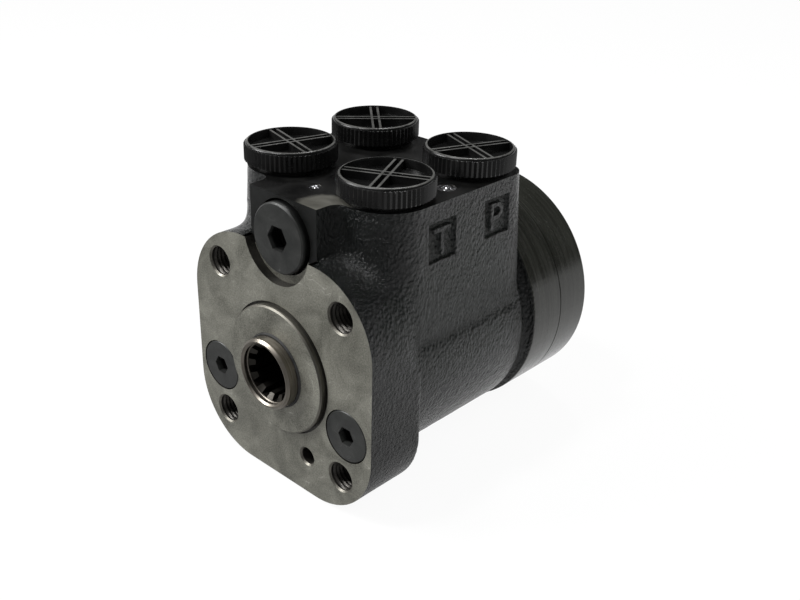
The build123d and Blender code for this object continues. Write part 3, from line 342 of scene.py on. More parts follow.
def black_cast_paint():
    """Satin black paint over rough sand casting."""
    finish, tree, shader = new_finish("black cast paint", Specular_IOR_Level=0.4)
    grain = use_group(tree, cast_grain, Grain=1500.0, Lumps=340.0)
    marks = use_group(tree, handling_marks, Size=45.0, Scratch_density=0.2)
    patch = spread(tree, marks.outputs["Smudge"], 0.35, 0.65)
    colour = blend_colours(tree, patch, (0.0032, 0.0038, 0.0036), (0.0075, 0.0085, 0.0081))
    colour = blend_colours(tree, grain.outputs["Pits"], colour, (0.002, 0.002, 0.002))
    set_skin(tree, shader, colour, marks.outputs["Smudge"], 0.14, 0.24)
    raise_by(tree, shader, grain.outputs["Height"], 0.0009)
    return finish


def machined_iron():
    """Bare milled grey iron with a thin film of oil, mottled and a little warm."""
    finish, tree, shader = new_finish("machined iron", Metallic=0.3)
    marks = use_group(tree, handling_marks, Size=70.0, Scratch_density=0.5)
    lines = use_group(tree, turning_lines, Pitch=0.5, Waver=2.0)
    patch = spread(tree, marks.outputs["Smudge"], 0.36, 0.64)
    colour = blend_colours(tree, patch, (0.062, 0.061, 0.048), (0.222, 0.219, 0.185))
    grit = spread(tree, marks.outputs["Speckle"], 0.35, 0.7)
    fleck = blend_colours(tree, grit, (0.02, 0.0195, 0.015), (0.25, 0.247, 0.21))
    colour = blend_colours(tree, 0.5, colour, fleck)
    scratched = blend_colours(tree, marks.outputs["Scratch"], colour, (0.5, 0.48, 0.45))
    set_skin(tree, shader, scratched, marks.outputs["Smudge"], 0.38, 0.56)
    rings = maths(tree, "MULTIPLY", lines.outputs["Height"], 0.6)
    height = maths(tree, "ADD", rings, marks.outputs["Speckle"])
    raise_by(tree, shader, height, 0.00003)
    return finish


def face_with_painted_shade():
    """The nose and the port face: milled iron with painted shade, near black but for one lit corner in the
    iron's own tones.
    """
    finish, tree, shader = new_finish("port face with painted shade", Metallic=0.4)
    marks = use_group(tree, handling_marks, Size=80.0, Scratch_density=0.3)
    patch = spread(tree, marks.outputs["Smudge"], 0.35, 0.65)
    # the lit corner: a ragged patch on upward faces at the front of the port face; shade is painted
    # everywhere else
    spot = tree.nodes.new("ShaderNodeTexCoord")
    away = place(tree, "ShaderNodeVectorMath", operation="DISTANCE")
    away.inputs[1].default_value = Vector(LIT_CORNER) * MM
    tree.links.new(spot.outputs["Object"], away.inputs[0])
    raggedness = maths(tree, "MULTIPLY", marks.outputs["Smudge"], LIT_CORNER_RAGGEDNESS * MM)
    ragged = maths(tree, "ADD", away.outputs["Value"], raggedness)
    upward = spread(tree, parts_of(tree, "Normal")["Z"], 0.5, 0.8)
    lit_corner = spread(tree, ragged, (LIT_CORNER_REACH + LIT_CORNER_FADE) * MM, LIT_CORNER_REACH * MM)
    lit_corner = maths(tree, "MULTIPLY", lit_corner, upward)
    # painted shade: near-black tones for the nose and the port face, the iron's own tones only in the lit
    # corner
    on_nose = blend_colours(tree, patch, (0.005, 0.0054, 0.0052), (0.014, 0.0148, 0.0144))
    on_top = blend_colours(tree, patch, (0.004, 0.004, 0.004), (0.012, 0.012, 0.0115))
    iron = blend_colours(tree, patch, (0.075, 0.073, 0.062), (0.145, 0.142, 0.123))
    colour = blend_colours(tree, lit_corner, blend_colours(tree, upward, on_nose, on_top), iron)
    set_skin(tree, shader, colour, marks.outputs["Smudge"], 0.26, 0.4)
    raise_by(tree, shader, marks.outputs["Speckle"], 0.00003)
    return finish


def shaded_oiled_bore():
    """Walls of drilled and bored holes: the same iron, painted darker as shade inside the holes, and glossy
    with oil.
    """
    finish, tree, shader = new_finish("oiled bore with painted shade", Metallic=0.7)
    marks = use_group(tree, handling_marks, Size=120.0, Scratch_density=0.1)
    patch = spread(tree, marks.outputs["Smudge"], 0.35, 0.65)
    # painted shade: tones far darker than the machined iron, for the shade inside holes
    colour = blend_colours(tree, patch, (0.02, 0.019, 0.017), (0.06, 0.056, 0.05))
    set_skin(tree, shader, colour, marks.outputs["Smudge"], 0.25, 0.42)
    raise_by(tree, shader, marks.outputs["Speckle"], 0.00004)
    return finish


def turned_black_paint():
    """Smooth glossy black paint over turned steel, with its rings showing through."""
    finish, tree, shader = new_finish("turned black paint", Specular_IOR_Level=0.36)
    lines = use_group(tree, turning_lines, Pitch=0.55, Waver=1.2)
    marks = use_group(tree, handling_marks, Size=40.0, Scratch_density=0.8)
    streak = spread(tree, lines.outputs["Streaks"], 0.35, 0.68)
    colour = blend_colours(tree, streak, (0.012, 0.0125, 0.01), (0.022, 0.0228, 0.019))
    colour = blend_colours(tree, marks.outputs["Scratch"], colour, (0.12, 0.12, 0.115))
    set_skin(tree, shader, colour, lines.outputs["Streaks"], 0.12, 0.24)
    raise_by(tree, shader, lines.outputs["Height"], 0.00004)
    return finish


def dark_plug_steel(name="dark plug steel", socket_depth=2.6):
    """Dark grey phosphated steel with painted shade: black from a depth along the shaft, as in the plugs'
    sockets.
    """
    finish, tree, shader = new_finish(name, Metallic=0.35)
    marks = use_group(tree, handling_marks, Size=110.0, Scratch_density=0.35)
    patch = spread(tree, marks.outputs["Smudge"], 0.35, 0.65)
    colour = blend_colours(tree, patch, (0.018, 0.019, 0.0182), (0.033, 0.034, 0.0325))
    colour = blend_colours(tree, marks.outputs["Scratch"], colour, (0.14, 0.14, 0.14))
    # painted shade in the sockets: black from socket_depth along the shaft
    painted_recess_shade = spread(tree, parts_of(tree)["Y"], (socket_depth - 0.8) * MM, socket_depth * MM)
    colour = blend_colours(tree, painted_recess_shade, colour, (0.004, 0.004, 0.004))
    set_skin(tree, shader, colour, marks.outputs["Speckle"], 0.36, 0.52)
    raise_by(tree, shader, marks.outputs["Speckle"], 0.00002)
    return finish


def ground_steel(name="ground steel", tone=(0.42, 0.385, 0.34), bright=(0.62, 0.58, 0.52), rough=0.24):
    """Bare steel turned and ground about its axis."""
    finish, tree, shader = new_finish(name, Metallic=1.0)
    lines = use_group(tree, turning_lines, Pitch=0.25, Waver=1.0)
    marks = use_group(tree, handling_marks, Size=90.0, Scratch_density=0.3)
    streak = spread(tree, lines.outputs["Streaks"], 0.3, 0.7)
    colour = blend_colours(tree, streak, tone, bright)
    set_skin(tree, shader, colour, marks.outputs["Smudge"], rough, rough + 0.14)
    raise_by(tree, shader, lines.outputs["Height"], 0.00002)
    return finish


def spool_finish():
    """Ground steel outside, with painted shade from the mouth of the splined socket inwards."""
    finish, tree, shader = new_finish("spool steel", Metallic=1.0)
    lines = use_group(tree, turning_lines, Pitch=0.25, Waver=1.0)
    marks = use_group(tree, handling_marks, Size=90.0, Scratch_density=0.3)
    radius = from_shaft_axis(tree, parts_of(tree))
    # painted shade: dark from the mouth of the splined socket inwards
    painted_socket_shade = spread(tree, radius, SOCKET_RADIUS * MM, (SOCKET_RADIUS - 0.3) * MM)
    streak = spread(tree, lines.outputs["Streaks"], 0.3, 0.7)
    bright = blend_colours(tree, streak, (0.2, 0.182, 0.155), (0.36, 0.33, 0.29))
    colour = blend_colours(tree, painted_socket_shade, bright, (0.05, 0.047, 0.042))
    set_skin(tree, shader, colour, marks.outputs["Smudge"], 0.32, 0.46)
    raise_by(tree, shader, lines.outputs["Height"], 0.00002)
    return finish


def moulded_cap_plastic(name="moulded cap plastic", low=(0.003, 0.003, 0.003), high=(0.007, 0.007, 0.007)):
    """Black moulded plastic of the port caps: a satin skin with faint flow marks."""
    finish, tree, shader = new_finish(name, Specular_IOR_Level=0.32)
    marks = use_group(tree, handling_marks, Size=85.0, Scratch_density=0.3)
    patch = spread(tree, marks.outputs["Smudge"], 0.35, 0.65)
    colour = blend_colours(tree, patch, low, high)
    colour = blend_colours(tree, marks.outputs["Scratch"], colour, (0.04, 0.04, 0.04))
    set_skin(tree, shader, colour, marks.outputs["Smudge"], 0.2, 0.34)
    raise_by(tree, shader, marks.outputs["Speckle"], 0.00003)
    return finish


def seal_rubber():
    """Soft black rubber with a faint bloom."""
    finish, tree, shader = new_finish("seal rubber", Specular_IOR_Level=0.35)
    marks = use_group(tree, handling_marks, Size=150.0, Scratch_density=0.0)
    bloom = spread(tree, marks.outputs["Smudge"], 0.4, 0.7)
    colour = blend_colours(tree, bloom, (0.012, 0.012, 0.012), (0.03, 0.03, 0.029))
    set_skin(tree, shader, colour, marks.outputs["Speckle"], 0.55, 0.75)
    raise_by(tree, shader, marks.outputs["Speckle"], 0.00003)
    return finish


cast_paint = black_cast_paint()
bare_iron = machined_iron()
shaded_bore_iron = shaded_oiled_bore()
painted_shade_face = face_with_painted_shade()
turned_paint = turned_black_paint()
plug_steel = dark_plug_steel()
screw_steel = dark_plug_steel("black oxide screws", NOWHERE)
bright_cut = ground_steel("bright cut edge", (0.13, 0.124, 0.108), (0.25, 0.24, 0.21), 0.4)
inner_steel = ground_steel()
spool_steel = spool_finish()
ball_steel = ground_steel("ball steel", (0.5, 0.5, 0.51), (0.68, 0.68, 0.69), 0.14)
spring_steel = ground_steel("spring steel", (0.2, 0.2, 0.21), (0.34, 0.34, 0.36), 0.32)
washer_metal = ground_steel("washer metal", (0.45, 0.45, 0.46), (0.6, 0.6, 0.61), 0.4)
cap_plastic = moulded_cap_plastic()
# painted highlight: the ridge crests lighter than the grooves between them
crest_highlight_plastic = moulded_cap_plastic("cap ridge crests", (0.01, 0.01, 0.01), (0.028, 0.028, 0.027))
# painted highlight: lighter plastic for the caps' rims, ridge edges and rib tops
edge_highlight_plastic = moulded_cap_plastic("cap edges with painted highlight", (0.035, 0.035, 0.033), (0.1, 0.1, 0.096))
rubber = seal_rubber()

finishes = {
    "housing": bare_iron,
    "spool": spool_steel,
    "distributor_plate": turned_paint,
    "gear_ring": turned_paint,
    "end_cover": turned_paint,
    "relief_plug": plug_steel,
    "shock_plug_right": plug_steel,
    "shock_plug_left": plug_steel,
    "cover_screws": screw_steel,
    "pin_screw": screw_steel,
    "dust_seal": rubber,
    "shaft_seal": rubber,
    "check_ball": ball_steel,
    "gallery_plugs": ball_steel,
}
finishes_by_word = {
    "port_cap": cap_plastic,
    "o_ring": rubber,
    "washer": washer_metal,
    "spring": spring_steel,
    "ball": ball_steel,
}
for node_name, node_object in nodes.items():
    by_word = [finish for word, finish in finishes_by_word.items() if word in node_name]
    chosen = finishes.get(node_name, (by_word or [inner_steel])[0])
    node_object.data.materials.clear()
    node_object.data.materials.append(chosen)


# ---- the casting --------------------------------------------------------------------------
def new_piece(name, bm, *finishes_of_piece):
    """An object from a bmesh, linked to the scene, with its materials."""
    mesh = bpy.data.meshes.new(name)
    bm.to_mesh(mesh)
    bm.free()
    piece = bpy.data.objects.new(name, mesh)
    bpy.context.scene.collection.objects.link(piece)
    for finish in finishes_of_piece:
        mesh.materials.append(finish)
    return piece


def rounded_outline(left, right, low, high, corners, steps=10):
    """Corner points of a rectangle with its own radius at each corner, from the lower left round."""
    points = []
    centres = (
        (left, low, 1, 1, pi),
        (right, low, -1, 1, 1.5 * pi),
        (right, high, -1, -1, 0.0),
        (left, high, 1, -1, 0.5 * pi),
    )
    for (x, y, inward_x, inward_y, start), radius in zip(centres, corners):
        for i in range(steps + 1):
            angle = start + 0.5 * pi * i / steps
            points.append(
                (x + inward_x * radius + radius * cos(angle), y + inward_y * radius + radius * sin(angle))
            )
    return points


def add_prism(bm, outline, start, end, across_shaft):
    """A closed prism from an outline in millimetres, along the shaft (Y) or upwards (Z)."""
    rings = []
    for level in (start, end):
        ring = []
        for first, second in outline:
            point = (first, level, second) if across_shaft else (first, second, level)
            ring.append(bm.verts.new(Vector(point) * MM))
        rings.append(ring)
    count = len(outline)
    for i in range(count):
        j = (i + 1) % count
        bm.faces.new((rings[0][i], rings[0][j], rings[1][j], rings[1][i]))
    bm.faces.new(rings[0][::-1])
    bm.faces.new(rings[1])


def outside_outline(x, y, left, right, low, high, corner):
    """Distance of a point outside a rounded rectangle, negative inside."""
    across = abs(x - (left + right) / 2) - (right - left) / 2 + corner
    along = abs(y - (low + high) / 2) - (high - low) / 2 + corner
    return hypot(max(across, 0.0), max(along, 0.0)) + min(max(across, along), 0.0) - corner


def at_block_foot(spot):
    """Whether a point is near the inner corner where the port block stands on the flange."""
    if spot.z < 8 or spot.y > FLANGE_BACK or spot.y < 4:
        return False
    half = BLOCK_HALF_WIDTH + (PORT_FACE - spot.z) * tan(radians(BLOCK_DRAFT))
    off_block = outside_outline(spot.x, spot.y, -half, half, BLOCK_FRONT, BLOCK_BACK, BLOCK_FRONT_CORNER)
    off_flange = outside_outline(
        spot.x, spot.z, -FLANGE_HALF_WIDTH, FLANGE_HALF_WIDTH, FLANGE_BOTTOM, FLANGE_TOP, FLANGE_CORNER
    )
    return max(off_block, off_flange) < FOOT_REACH and min(off_block, off_flange) > -2.0


def cast_blank():
    """The casting before machining: the housing with stock left on its machined faces, softened all over.

    Softening eats a little of the outer corners, so its points are pulled back towards the sharp form.
    """
    bm = bmesh.new()
    bm.from_mesh(nodes["housing"].data)
    square = (FLANGE_CORNER,) * 4
    flange = rounded_outline(-FLANGE_HALF_WIDTH, FLANGE_HALF_WIDTH, FLANGE_BOTTOM, FLANGE_TOP, square)
    add_prism(bm, flange, -STOCK, 6.0, True)
    block = rounded_outline(
        -BLOCK_HALF_WIDTH,
        BLOCK_HALF_WIDTH,
        BLOCK_FRONT,
        BLOCK_BACK,
        (BLOCK_FRONT_CORNER, BLOCK_FRONT_CORNER, BLOCK_BACK_CORNER, BLOCK_BACK_CORNER),
    )
    add_prism(bm, block, PORT_FACE - 1.0, PORT_FACE + STOCK, False)
    nose = rounded_outline(-NOSE_HALF_WIDTH, NOSE_HALF_WIDTH, NOSE_FOOT, PORT_FACE + STOCK, (0.01,) * 4, 1)
    add_prism(bm, nose, NOSE_FACE - 4.5, BLOCK_FRONT + STOCK, True)
    rim = [(REAR_RADIUS * cos(tau * i / 96), REAR_RADIUS * sin(tau * i / 96)) for i in range(96)]
    add_prism(bm, rim, CASTING_END - 0.5, CASTING_END + STOCK, True)
    bmesh.ops.recalc_face_normals(bm, faces=bm.faces)
    sharp = BVHTree.FromBMesh(bm)
    blank = new_piece("cast blank", bm)
    remesh = blank.modifiers.new("fuse", "REMESH")
    remesh.mode = "VOXEL"
    remesh.voxel_size = CAST_VOXEL * MM
    soften = blank.modifiers.new("soften", "SMOOTH")
    soften.factor = 0.5
    soften.iterations = CAST_SOFTENING
    shape = blank.evaluated_get(bpy.context.evaluated_depsgraph_get()).to_mesh()
    bm = bmesh.new()
    bm.from_mesh(shape)
    bpy.data.objects.remove(blank)
    bm.normal_update()
    for vert in bm.verts:
        spot, normal, _, _ = sharp.ray_cast(vert.co, vert.normal, CAST_PULL_REACH * MM)
        if spot and normal.dot(vert.normal) > 0.4:
            vert.co = vert.co.lerp(spot, CAST_PULL)
    foot = [vert for vert in bm.verts if at_block_foot(vert.co / MM)]
    for _ in range(FOOT_ROUNDS):
        bmesh.ops.smooth_vert(bm, verts=foot, factor=0.5, use_axis_x=True, use_axis_y=True, use_axis_z=True)
    return bm


def cut_flush(bm, point, outward, keep=None):
    """Cut the casting flush with a machined plane and drop what stands proud of it.

    The elements go in a dict, which keeps their order, so that each run cuts the same mesh.
    """
    here = [f for f in bm.faces if keep is None or keep(f.calc_center_median() / MM)]
    around = dict.fromkeys(here)
    for face in here:
        around.update(dict.fromkeys((*face.verts, *face.edges)))
    bmesh.ops.bisect_plane(
        bm,
        geom=list(around),
        plane_co=Vector(point) * MM,
        plane_no=Vector(outward),
        clear_outer=True,
        dist=1e-7,
    )


def stroke_distance(point, strokes):
    """Distance from a point to the nearest of a letter's strokes."""
    best = 99.0
    for (ax, ay), (bx, by) in strokes:
        length = (bx - ax) ** 2 + (by - ay) ** 2
        t = max(0.0, min(1.0, ((point[0] - ax) * (bx - ax) + (point[1] - ay) * (by - ay)) / length))
        best = min(best, hypot(point[0] - ax - t * (bx - ax), point[1] - ay - t * (by - ay)))
    return best


def bowl(centre, radius, start, end, steps=8):
    """A letter's round stroke as short straight ones."""
    points = [
        (
            centre[0] + radius * cos(radians(start + (end - start) * i / steps)),
            centre[1] + radius * sin(radians(start + (end - start) * i / steps)),
        )
        for i in range(steps + 1)
    ]
    return list(zip(points, points[1:]))


def letter_with_bowl(foot_of_bowl, centre, radius, *more):
    """The strokes of a P or an R: a stem, the two bars of the bowl, what else there is, and the bowl."""
    stem = ((-2.4, -4.0), (-2.4, 3.9))
    bars = [((-2.4, level), (0.2, level)) for level in (3.9, foot_of_bowl)]
    return [stem, *bars, *more, *bowl(centre, radius, 90, -90)]


# generic port marks: tank and pressure on the right wall, left and right on the other
PORT_MARKS = {
    "T": [((-3.3, 3.7), (3.3, 3.7)), ((0.0, 3.7), (0.0, -4.0))],
    "P": letter_with_bowl(-0.4, (0.2, 1.75), 2.15),
    "L": [((-2.4, 3.9), (-2.4, -3.8)), ((-2.4, -3.8), (2.6, -3.8))],
    "R": letter_with_bowl(-0.2, (0.2, 1.85), 2.05, ((0.1, -0.2), (2.6, -4.0))),
}
# letter, side of the block, place along the shaft and height
MARK_PLACES = (
    ("T", 1, 36.05, 47.05),
    ("P", 1, 63.25, 47.65),
    ("L", -1, 36.05, 47.05),
    ("R", -1, 63.25, 47.65),
)
MARK_HALF_WIDTH = 6.15
MARK_HALF_HEIGHT = 6.25
MARK_DEPTH = 1.0
# where the slope of a box's edge and of a stroke's side begins and ends, and (noise scale, reach) of the rag
MARK_SLOPE = (-0.45, 0.35)
STROKE_SLOPE = (0.7, 1.15)
STROKE_RAG = (900, 0.25)


def smooth_step(value, low, high):
    """0 up to low, 1 from high, with a soft rise between."""
    t = max(0.0, min(1.0, (value - low) / (high - low)))
    return t * t * (3 - 2 * t)


def cast_port_marks(bm):
    """Sink a shallow box for each port mark into the block's side walls, with its letter left standing."""
    for letter, side, y, z in MARK_PLACES:
        walls = [
            f
            for f in bm.faces
            if abs(f.normal.x) > 0.8
            and f.normal.x * side > 0
            and abs(f.calc_center_median().y / MM - y) < MARK_HALF_WIDTH + 1.5
            and abs(f.calc_center_median().z / MM - z) < MARK_HALF_HEIGHT + 1.5
        ]
        edges = list(dict.fromkeys(e for f in walls for e in f.edges))
        bmesh.ops.subdivide_edges(bm, edges=edges, cuts=2, use_grid_fill=True)
        strokes = PORT_MARKS[letter]
        for vert in bm.verts:
            if vert.co.x * side < 30 * MM:
                continue
            across = side * (vert.co.y / MM - y)
            up = vert.co.z / MM - z
            if abs(across) > MARK_HALF_WIDTH + 1 or abs(up) > MARK_HALF_HEIGHT + 1:
                continue
            inside = max(abs(across) - MARK_HALF_WIDTH, abs(up) - MARK_HALF_HEIGHT)
            sunk = 1 - smooth_step(inside, *MARK_SLOPE)
            ragged = STROKE_RAG[1] * noise.noise(vert.co * STROKE_RAG[0])
            standing = 1 - smooth_step(stroke_distance((across, up), strokes) + ragged, *STROKE_SLOPE)
            vert.co.x -= side * MARK_DEPTH * sunk * (1 - standing) * MM


def drop_crumbs(bm, fewest):
    """Delete the separate scraps of a mesh that have fewer points than this."""
    seen = set()
    crumbs = []
    for start in bm.verts:
        if start in seen:
            continue
        scrap = [start]
        seen.add(start)
        for vert in scrap:
            for edge in vert.link_edges:
                other = edge.other_vert(vert)
                if other not in seen:
                    seen.add(other)
                    scrap.append(other)
        if len(scrap) < fewest:
            crumbs += scrap
    bmesh.ops.delete(bm, geom=crumbs, context="VERTS")


def machined_faces(skin):
    """The housing's own faces, without those that lie under the cast skin."""
    nearest = BVHTree.FromBMesh(skin)
    machined = bmesh.new()
    machined.from_mesh(nodes["housing"].data)
    bmesh.ops.remove_doubles(machined, verts=machined.verts, dist=1e-6)
    machined.normal_update()
    painted = []
    for face in machined.faces:
        centre = face.calc_center_median()
        _, normal, _, gap = nearest.find_nearest(centre)
        near_shaft = hypot(centre.x, centre.z) < FRONT_BORE_RADIUS * MM
        in_front_bore = near_shaft and centre.y < FRONT_BORE_DEPTH * MM
        if gap < PAINTED_GAP * MM and normal.dot(face.normal) > 0.55 and not in_front_bore:
            painted.append(face)
    bmesh.ops.delete(machined, geom=painted, context="FACES")
    drop_crumbs(machined, SMALLEST_SCRAP)
    for face in machined.faces:
        face.smooth = True
        face.material_index = finish_of_cut(face)
    for edge in machined.edges:
        if len(edge.link_faces) == 2 and edge.calc_face_angle(0) > radians(35):
            edge.smooth = False
    return machined


def finish_of_cut(face):
    """Which of the casting's finishes a machined face has."""
    centre = face.calc_center_median() / MM
    from_shaft = hypot(centre.x, centre.z)
    tilt = face.normal.y
    port_face = face.normal.z > 0.9 and centre.z > PORT_FACE - 0.5
    nose = centre.y > NOSE_FACE - 0.5 and centre.z > FLANGE_TOP - 2 and tilt < -0.4
    # the port face and the nose take the finish with painted shade
    if port_face or (nose and centre.y < NOSE_FACE + 0.5):
        return PAINTED_SHADE
    chamfered = centre.y < EDGE_CUT_DEPTH and 0.3 < abs(tilt) < 0.9 and not nose
    if chamfered or (centre.y < 0.2 and PILOT_WALL[0] < from_shaft < PILOT_WALL[1]):
        return CUT
    # the pilot groove takes the bore finish, whose painted shade draws the groove's shadow line
    if PILOT_GROOVE[0] < from_shaft < PILOT_GROOVE[1] and 0.05 < centre.y < 1.0:
        return BORE
    flat_front = tilt < -0.9 and centre.y < NOSE_FACE + 0.5
    pilot = PILOT_RING[0] < from_shaft < PILOT_RING[1] and centre.y < 1.0
    mouth = centre.y < HOLE_MOUTH_DEPTH and abs(tilt) > 0.3
    return IRON if flat_front or pilot or mouth else BORE


def on_nose(spot):
    """Whether a point of the skin is on the part of the nose that the cutter reached."""
    return abs(spot.x) < NOSE_HALF_WIDTH + 0.6 and spot.z > NOSE_FOOT + 8 and spot.y < NOSE_FACE + 3


def roughen_skin(skin):
    """Sand-cast lumps all over, calm near the machined rims and on the collar, and the wall's crease."""
    for vert in skin.verts:
        spot = vert.co / MM
        rim = min(spot.y, PORT_FACE - spot.z, CASTING_END - spot.y)
        if spot.z > FLANGE_TOP - 2 and abs(spot.x) < NOSE_HALF_WIDTH + 1:
            rim = min(rim, abs(spot.y - NOSE_FACE))
        calm = smooth_step(rim, 0.0, CALM_RIM) * (1 - smooth_step(spot.y, COLLAR_START - 1.5, COLLAR_START))
        lump = sum(noise.noise(vert.co * scale) * height for scale, height in (COARSE_LUMPS, FINE_LUMPS))
        vert.co += vert.normal * lump * calm * MM
        if abs(spot.x) > 30 and FLANGE_BACK + 1 < spot.y < BLOCK_BACK - 1:
            ends = smooth_step(spot.y, FLANGE_BACK + 1, FLANGE_BACK + 5)
            ends *= 1 - smooth_step(spot.y, BLOCK_BACK - 7, BLOCK_BACK - 1)
            groove = CREASE_DEPTH * exp(-(((spot.z - CREASE_HEIGHT) / CREASE_HALF_WIDTH) ** 2))
            vert.co.x -= groove * ends * MM * (1 if spot.x > 0 else -1)


def build_casting():
    """Painted cast skin plus the machined faces of the housing, as one piece."""
    skin = cast_blank()
    skin.normal_update()
    machined = machined_faces(skin)
    cast_port_marks(skin)
    cut_flush(skin, (0, 0, 0), (0, -1, 0))
    cut_flush(skin, (0, 0, PORT_FACE), (0, 0, 1))
    cut_flush(skin, (0, CASTING_END, 0), (0, 1, 0))
    cut_flush(skin, (0, NOSE_FACE, 0), (0, -1, 0), on_nose)
    roughen_skin(skin)
    skin.normal_update()
    for face in skin.faces:
        face.smooth = True
        centre = face.calc_center_median() / MM
        on_collar = centre.y > COLLAR_START and hypot(centre.x, centre.z) > REAR_RADIUS - 0.6
        face.material_index = COLLAR if on_collar else PAINT

    whole = bpy.data.meshes.new("machined faces")
    machined.to_mesh(whole)
    machined.free()
    skin.from_mesh(whole)
    bpy.data.meshes.remove(whole)
    slots = (cast_paint, bare_iron, shaded_bore_iron, painted_shade_face, bright_cut, turned_paint)
    casting = new_piece("casting", skin, *slots)
    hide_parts("housing")
    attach(casting, "housing")


build_casting()


# ---- port caps ----------------------------------------------------------------------------
def is_hollow(face):
    """Whether a bevel face lies in an inner corner: its neighbours rise in front of it."""
    centre = face.calc_center_median()
    neighbours = [other for edge in face.edges for other in edge.link_faces if other is not face]
    return sum(face.normal.dot(other.calc_center_median() - centre) for other in neighbours) > 0


def soften_cap(place_of_cap):
    """A port cap with the small radii that moulding leaves on its ridges, rim and ribs, and painted
    highlights on its edges, rib tops and ridge crests.
    """
    node_of_cap = f"port_cap_{place_of_cap}"
    bm = bmesh.new()
    bm.from_mesh(nodes[node_of_cap].data)
    bmesh.ops.remove_doubles(bm, verts=bm.verts, dist=2e-6)
    bmesh.ops.dissolve_limit(bm, angle_limit=radians(2), verts=bm.verts, edges=bm.edges)
    sharp_cap = new_piece("sharp cap", bm, cap_plastic, edge_highlight_plastic)
    bevel = sharp_cap.modifiers.new("moulded radii", "BEVEL")
    bevel.limit_method = "ANGLE"
    bevel.angle_limit = radians(28)
    bevel.width = MOULDED_RADIUS * MM
    bevel.segments = 2
    # the bevel faces take the lighter edge finish, a painted highlight
    bevel.material = CAP_EDGE
    bm = bmesh.new()
    bm.from_mesh(sharp_cap.evaluated_get(bpy.context.evaluated_depsgraph_get()).to_mesh())
    bpy.data.objects.remove(sharp_cap)
    # bevels in inner corners go back to the plain skin, without painted highlight
    hollow_edges = [face for face in bm.faces if face.material_index == CAP_EDGE and is_hollow(face)]
    for face in hollow_edges:
        face.material_index = CAP_SKIN
    x, y = PORTS[place_of_cap]
    for face in bm.faces:
        face.smooth = True
        centre = face.calc_center_median() / MM
        # the rib tops take the edge finish too, a painted highlight
        if face.normal.z > 0.8 and centre.z > CAP_RIB_TOP - 0.3:
            face.material_index = CAP_EDGE
        # the outer ridge faces take the crest finish, a painted highlight
        elif abs(face.normal.z) < 0.3 and hypot(centre.x - x, centre.y - y) > CAP_CREST_RADIUS:
            face.material_index = CAP_CREST
    cap = new_piece(f"moulded_cap_{place_of_cap}", bm, cap_plastic, edge_highlight_plastic, crest_highlight_plastic)
    cap.data.set_sharp_from_angle(angle=radians(20))
    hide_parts(node_of_cap)
    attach(cap, f"cap_{place_of_cap}")


for cap_place in PORTS:
    soften_cap(cap_place)


# ---- threads ------------------------------------------------------------------------------
def cut_thread(name, centre, direction, sizes):
    """The ridge of an internal thread in the housing: a helix along direction, seated in a plain hole."""
    mouth_radius, crest_radius, pitch, start, end = sizes
    direction = Vector(direction)
    side = Vector((1, 0, 0))
    up = direction.cross(side)
    bm = bmesh.new()
    rows = []
    total = int(((end - start) / pitch - 1) * THREAD_STEPS)
    run_out_steps = THREAD_RUN_OUT * THREAD_STEPS
    for i in range(total + 1):
        angle = tau * i / THREAD_STEPS
        run_out = min(1.0, i / run_out_steps, (total - i) / run_out_steps)
        along = start + pitch * (0.5 + i / THREAD_STEPS)
        row = []
        for across, depth in THREAD_PROFILE:
            radius = mouth_radius + THREAD_SEAT - (mouth_radius - crest_radius) * depth * run_out
            spot = Vector(centre) + direction * (along + across * pitch)
            spot += (side * cos(angle) + up * sin(angle)) * radius
            row.append(bm.verts.new(spot * MM))
        rows.append(row)
    for row, ahead in zip(rows, rows[1:]):
        for j in range(len(THREAD_PROFILE) - 1):
            bm.faces.new((row[j], ahead[j], ahead[j + 1], row[j + 1]))
    bmesh.ops.recalc_face_normals(bm, faces=bm.faces)
    for face in bm.faces:
        face.smooth = True
    piece = new_piece(name, bm, shaded_bore_iron)
    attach(piece, "housing")


for i, (x, z) in enumerate(((1, 1), (-1, 1), (-1, -1), (1, -1))):
    cut_thread(f"column_thread_{i + 1}", (x * COLUMN_HOLE, 0.0, z * COLUMN_HOLE), (0, 1, 0), COLUMN_THREAD)
for port_name, (x, y) in PORTS.items():
    cut_thread(f"port_thread_{port_name}", (x, y, 0.0), (0, 0, 1), PORT_THREAD)


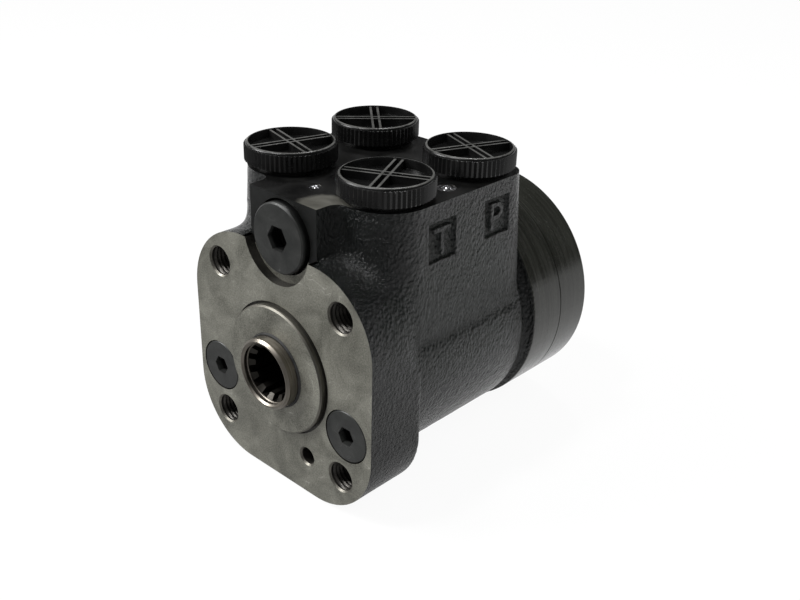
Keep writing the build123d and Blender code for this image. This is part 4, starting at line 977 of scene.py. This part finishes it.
# ---- studio -------------------------------------------------------------------------------
def studio_floor():
    """A plain pale floor that the unit rests on, white to the camera apart from its shadow."""
    rise = (REAR_REST - FLANGE_BOTTOM) / (REAR_LOWEST_Y - FLANGE_BACK)
    height = FLANGE_BOTTOM - rise * FLANGE_BACK
    outline = [(FLOOR_REACH * cos(tau * i / 64), 60 + FLOOR_REACH * sin(tau * i / 64)) for i in range(64)]
    bm = bmesh.new()
    bm.faces.new([bm.verts.new(Vector((x, y, height + rise * y - 0.05)) * MM) for x, y in outline])
    finish, tree, shader = new_finish("pale floor", Roughness=0.6)
    shader.inputs["Base Color"].default_value = (0.86, 0.86, 0.86, 1)
    grain = place(tree, "ShaderNodeTexNoise", Scale=900.0, Detail=3.0)
    raise_by(tree, shader, grain.outputs[0], 0.00004, 0.3)
    glow = place(tree, "ShaderNodeEmission", Strength=1.0)
    glow.inputs["Color"].default_value = (1, 1, 1, 1)
    path = tree.nodes.new("ShaderNodeLightPath")
    sweep = spread(tree, parts_of(tree)["Y"], -0.09, 0.13, 0.12, 1.0)
    mirrored = maths(tree, "MULTIPLY", path.outputs["Is Glossy Ray"], sweep)
    looked_at = maths(tree, "MAXIMUM", path.outputs["Is Camera Ray"], path.outputs["Is Transmission Ray"])
    tree.links.new(maths(tree, "MAXIMUM", looked_at, mirrored), glow.inputs["Strength"])
    seen = maths(tree, "MAXIMUM", looked_at, path.outputs["Is Glossy Ray"])
    share = maths(tree, "MULTIPLY", seen, 0.94)
    mix = tree.nodes.new("ShaderNodeMixShader")
    tree.links.new(share, mix.inputs["Fac"])
    tree.links.new(shader.outputs[0], mix.inputs[1])
    tree.links.new(glow.outputs[0], mix.inputs[2])
    tree.links.new(mix.outputs[0], tree.nodes["Material Output"].inputs["Surface"])
    floor = new_piece("floor", bm, finish)


def studio_world():
    """White surroundings for the camera, white below the horizon and dark above it in reflections, and a
    lower level for light.
    """
    world = bpy.data.worlds.new("studio")
    bpy.context.scene.world = world
    world.use_nodes = True
    tree = world.node_tree
    background = tree.nodes["Background"]
    background.inputs["Color"].default_value = (1, 1, 1, 1)
    path = tree.nodes.new("ShaderNodeLightPath")
    backdrop = spread(tree, parts_of(tree, "Generated")["Z"], 0.01, 0.06, 1.0, 0.05)
    mirrored = maths(tree, "MULTIPLY", path.outputs["Is Glossy Ray"], backdrop)
    looked_at = maths(tree, "MAXIMUM", path.outputs["Is Camera Ray"], path.outputs["Is Transmission Ray"])
    plain = maths(tree, "MULTIPLY", path.outputs["Is Diffuse Ray"], 0.55)
    level = maths(tree, "MAXIMUM", maths(tree, "MAXIMUM", looked_at, mirrored), plain)
    tree.links.new(level, background.inputs["Strength"])


def soft_light(name, spot, aim, size, power, mirrored):
    """A square soft box that looks at a point, seen in gloss or not."""
    lamp = bpy.data.lights.new(name, "AREA")
    lamp.shape = "RECTANGLE"
    lamp.size = lamp.size_y = size
    lamp.energy = power
    box = bpy.data.objects.new(name, lamp)
    box.location = spot
    box.visible_glossy = mirrored
    box.rotation_euler = (Vector(aim) - Vector(spot)).to_track_quat("-Z", "Y").to_euler()
    bpy.context.scene.collection.objects.link(box)


def camera_of_view():
    """The camera: CAMERA_TURN holds its azimuth, elevation and roll in degrees."""
    azimuth, elevation, roll = map(radians, CAMERA_TURN)
    back = Vector((sin(azimuth) * cos(elevation), -cos(azimuth) * cos(elevation), sin(elevation)))
    right = Vector((0, 0, 1)).cross(back).normalized()
    up = back.cross(right)
    rolled_right = cos(roll) * right + sin(roll) * up
    rolled_up = cos(roll) * up - sin(roll) * right
    turn = Matrix((rolled_right, rolled_up, back)).transposed()
    lens = bpy.data.cameras.new("camera")
    lens.sensor_width = CAMERA_SENSOR
    lens.lens = CAMERA_LENS
    lens.clip_start = 0.01
    lens.clip_end = 20.0
    eye = bpy.data.objects.new("camera", lens)
    eye.matrix_world = Matrix.Translation(Vector(CAMERA_PLACE) * MM) @ turn.to_4x4()
    bpy.context.scene.collection.objects.link(eye)
    bpy.context.scene.camera = eye


studio_floor()
studio_world()
for light in SOFT_LIGHTS:
    soft_light(*light)
camera_of_view()
bpy.context.scene.view_settings.view_transform = "Standard"
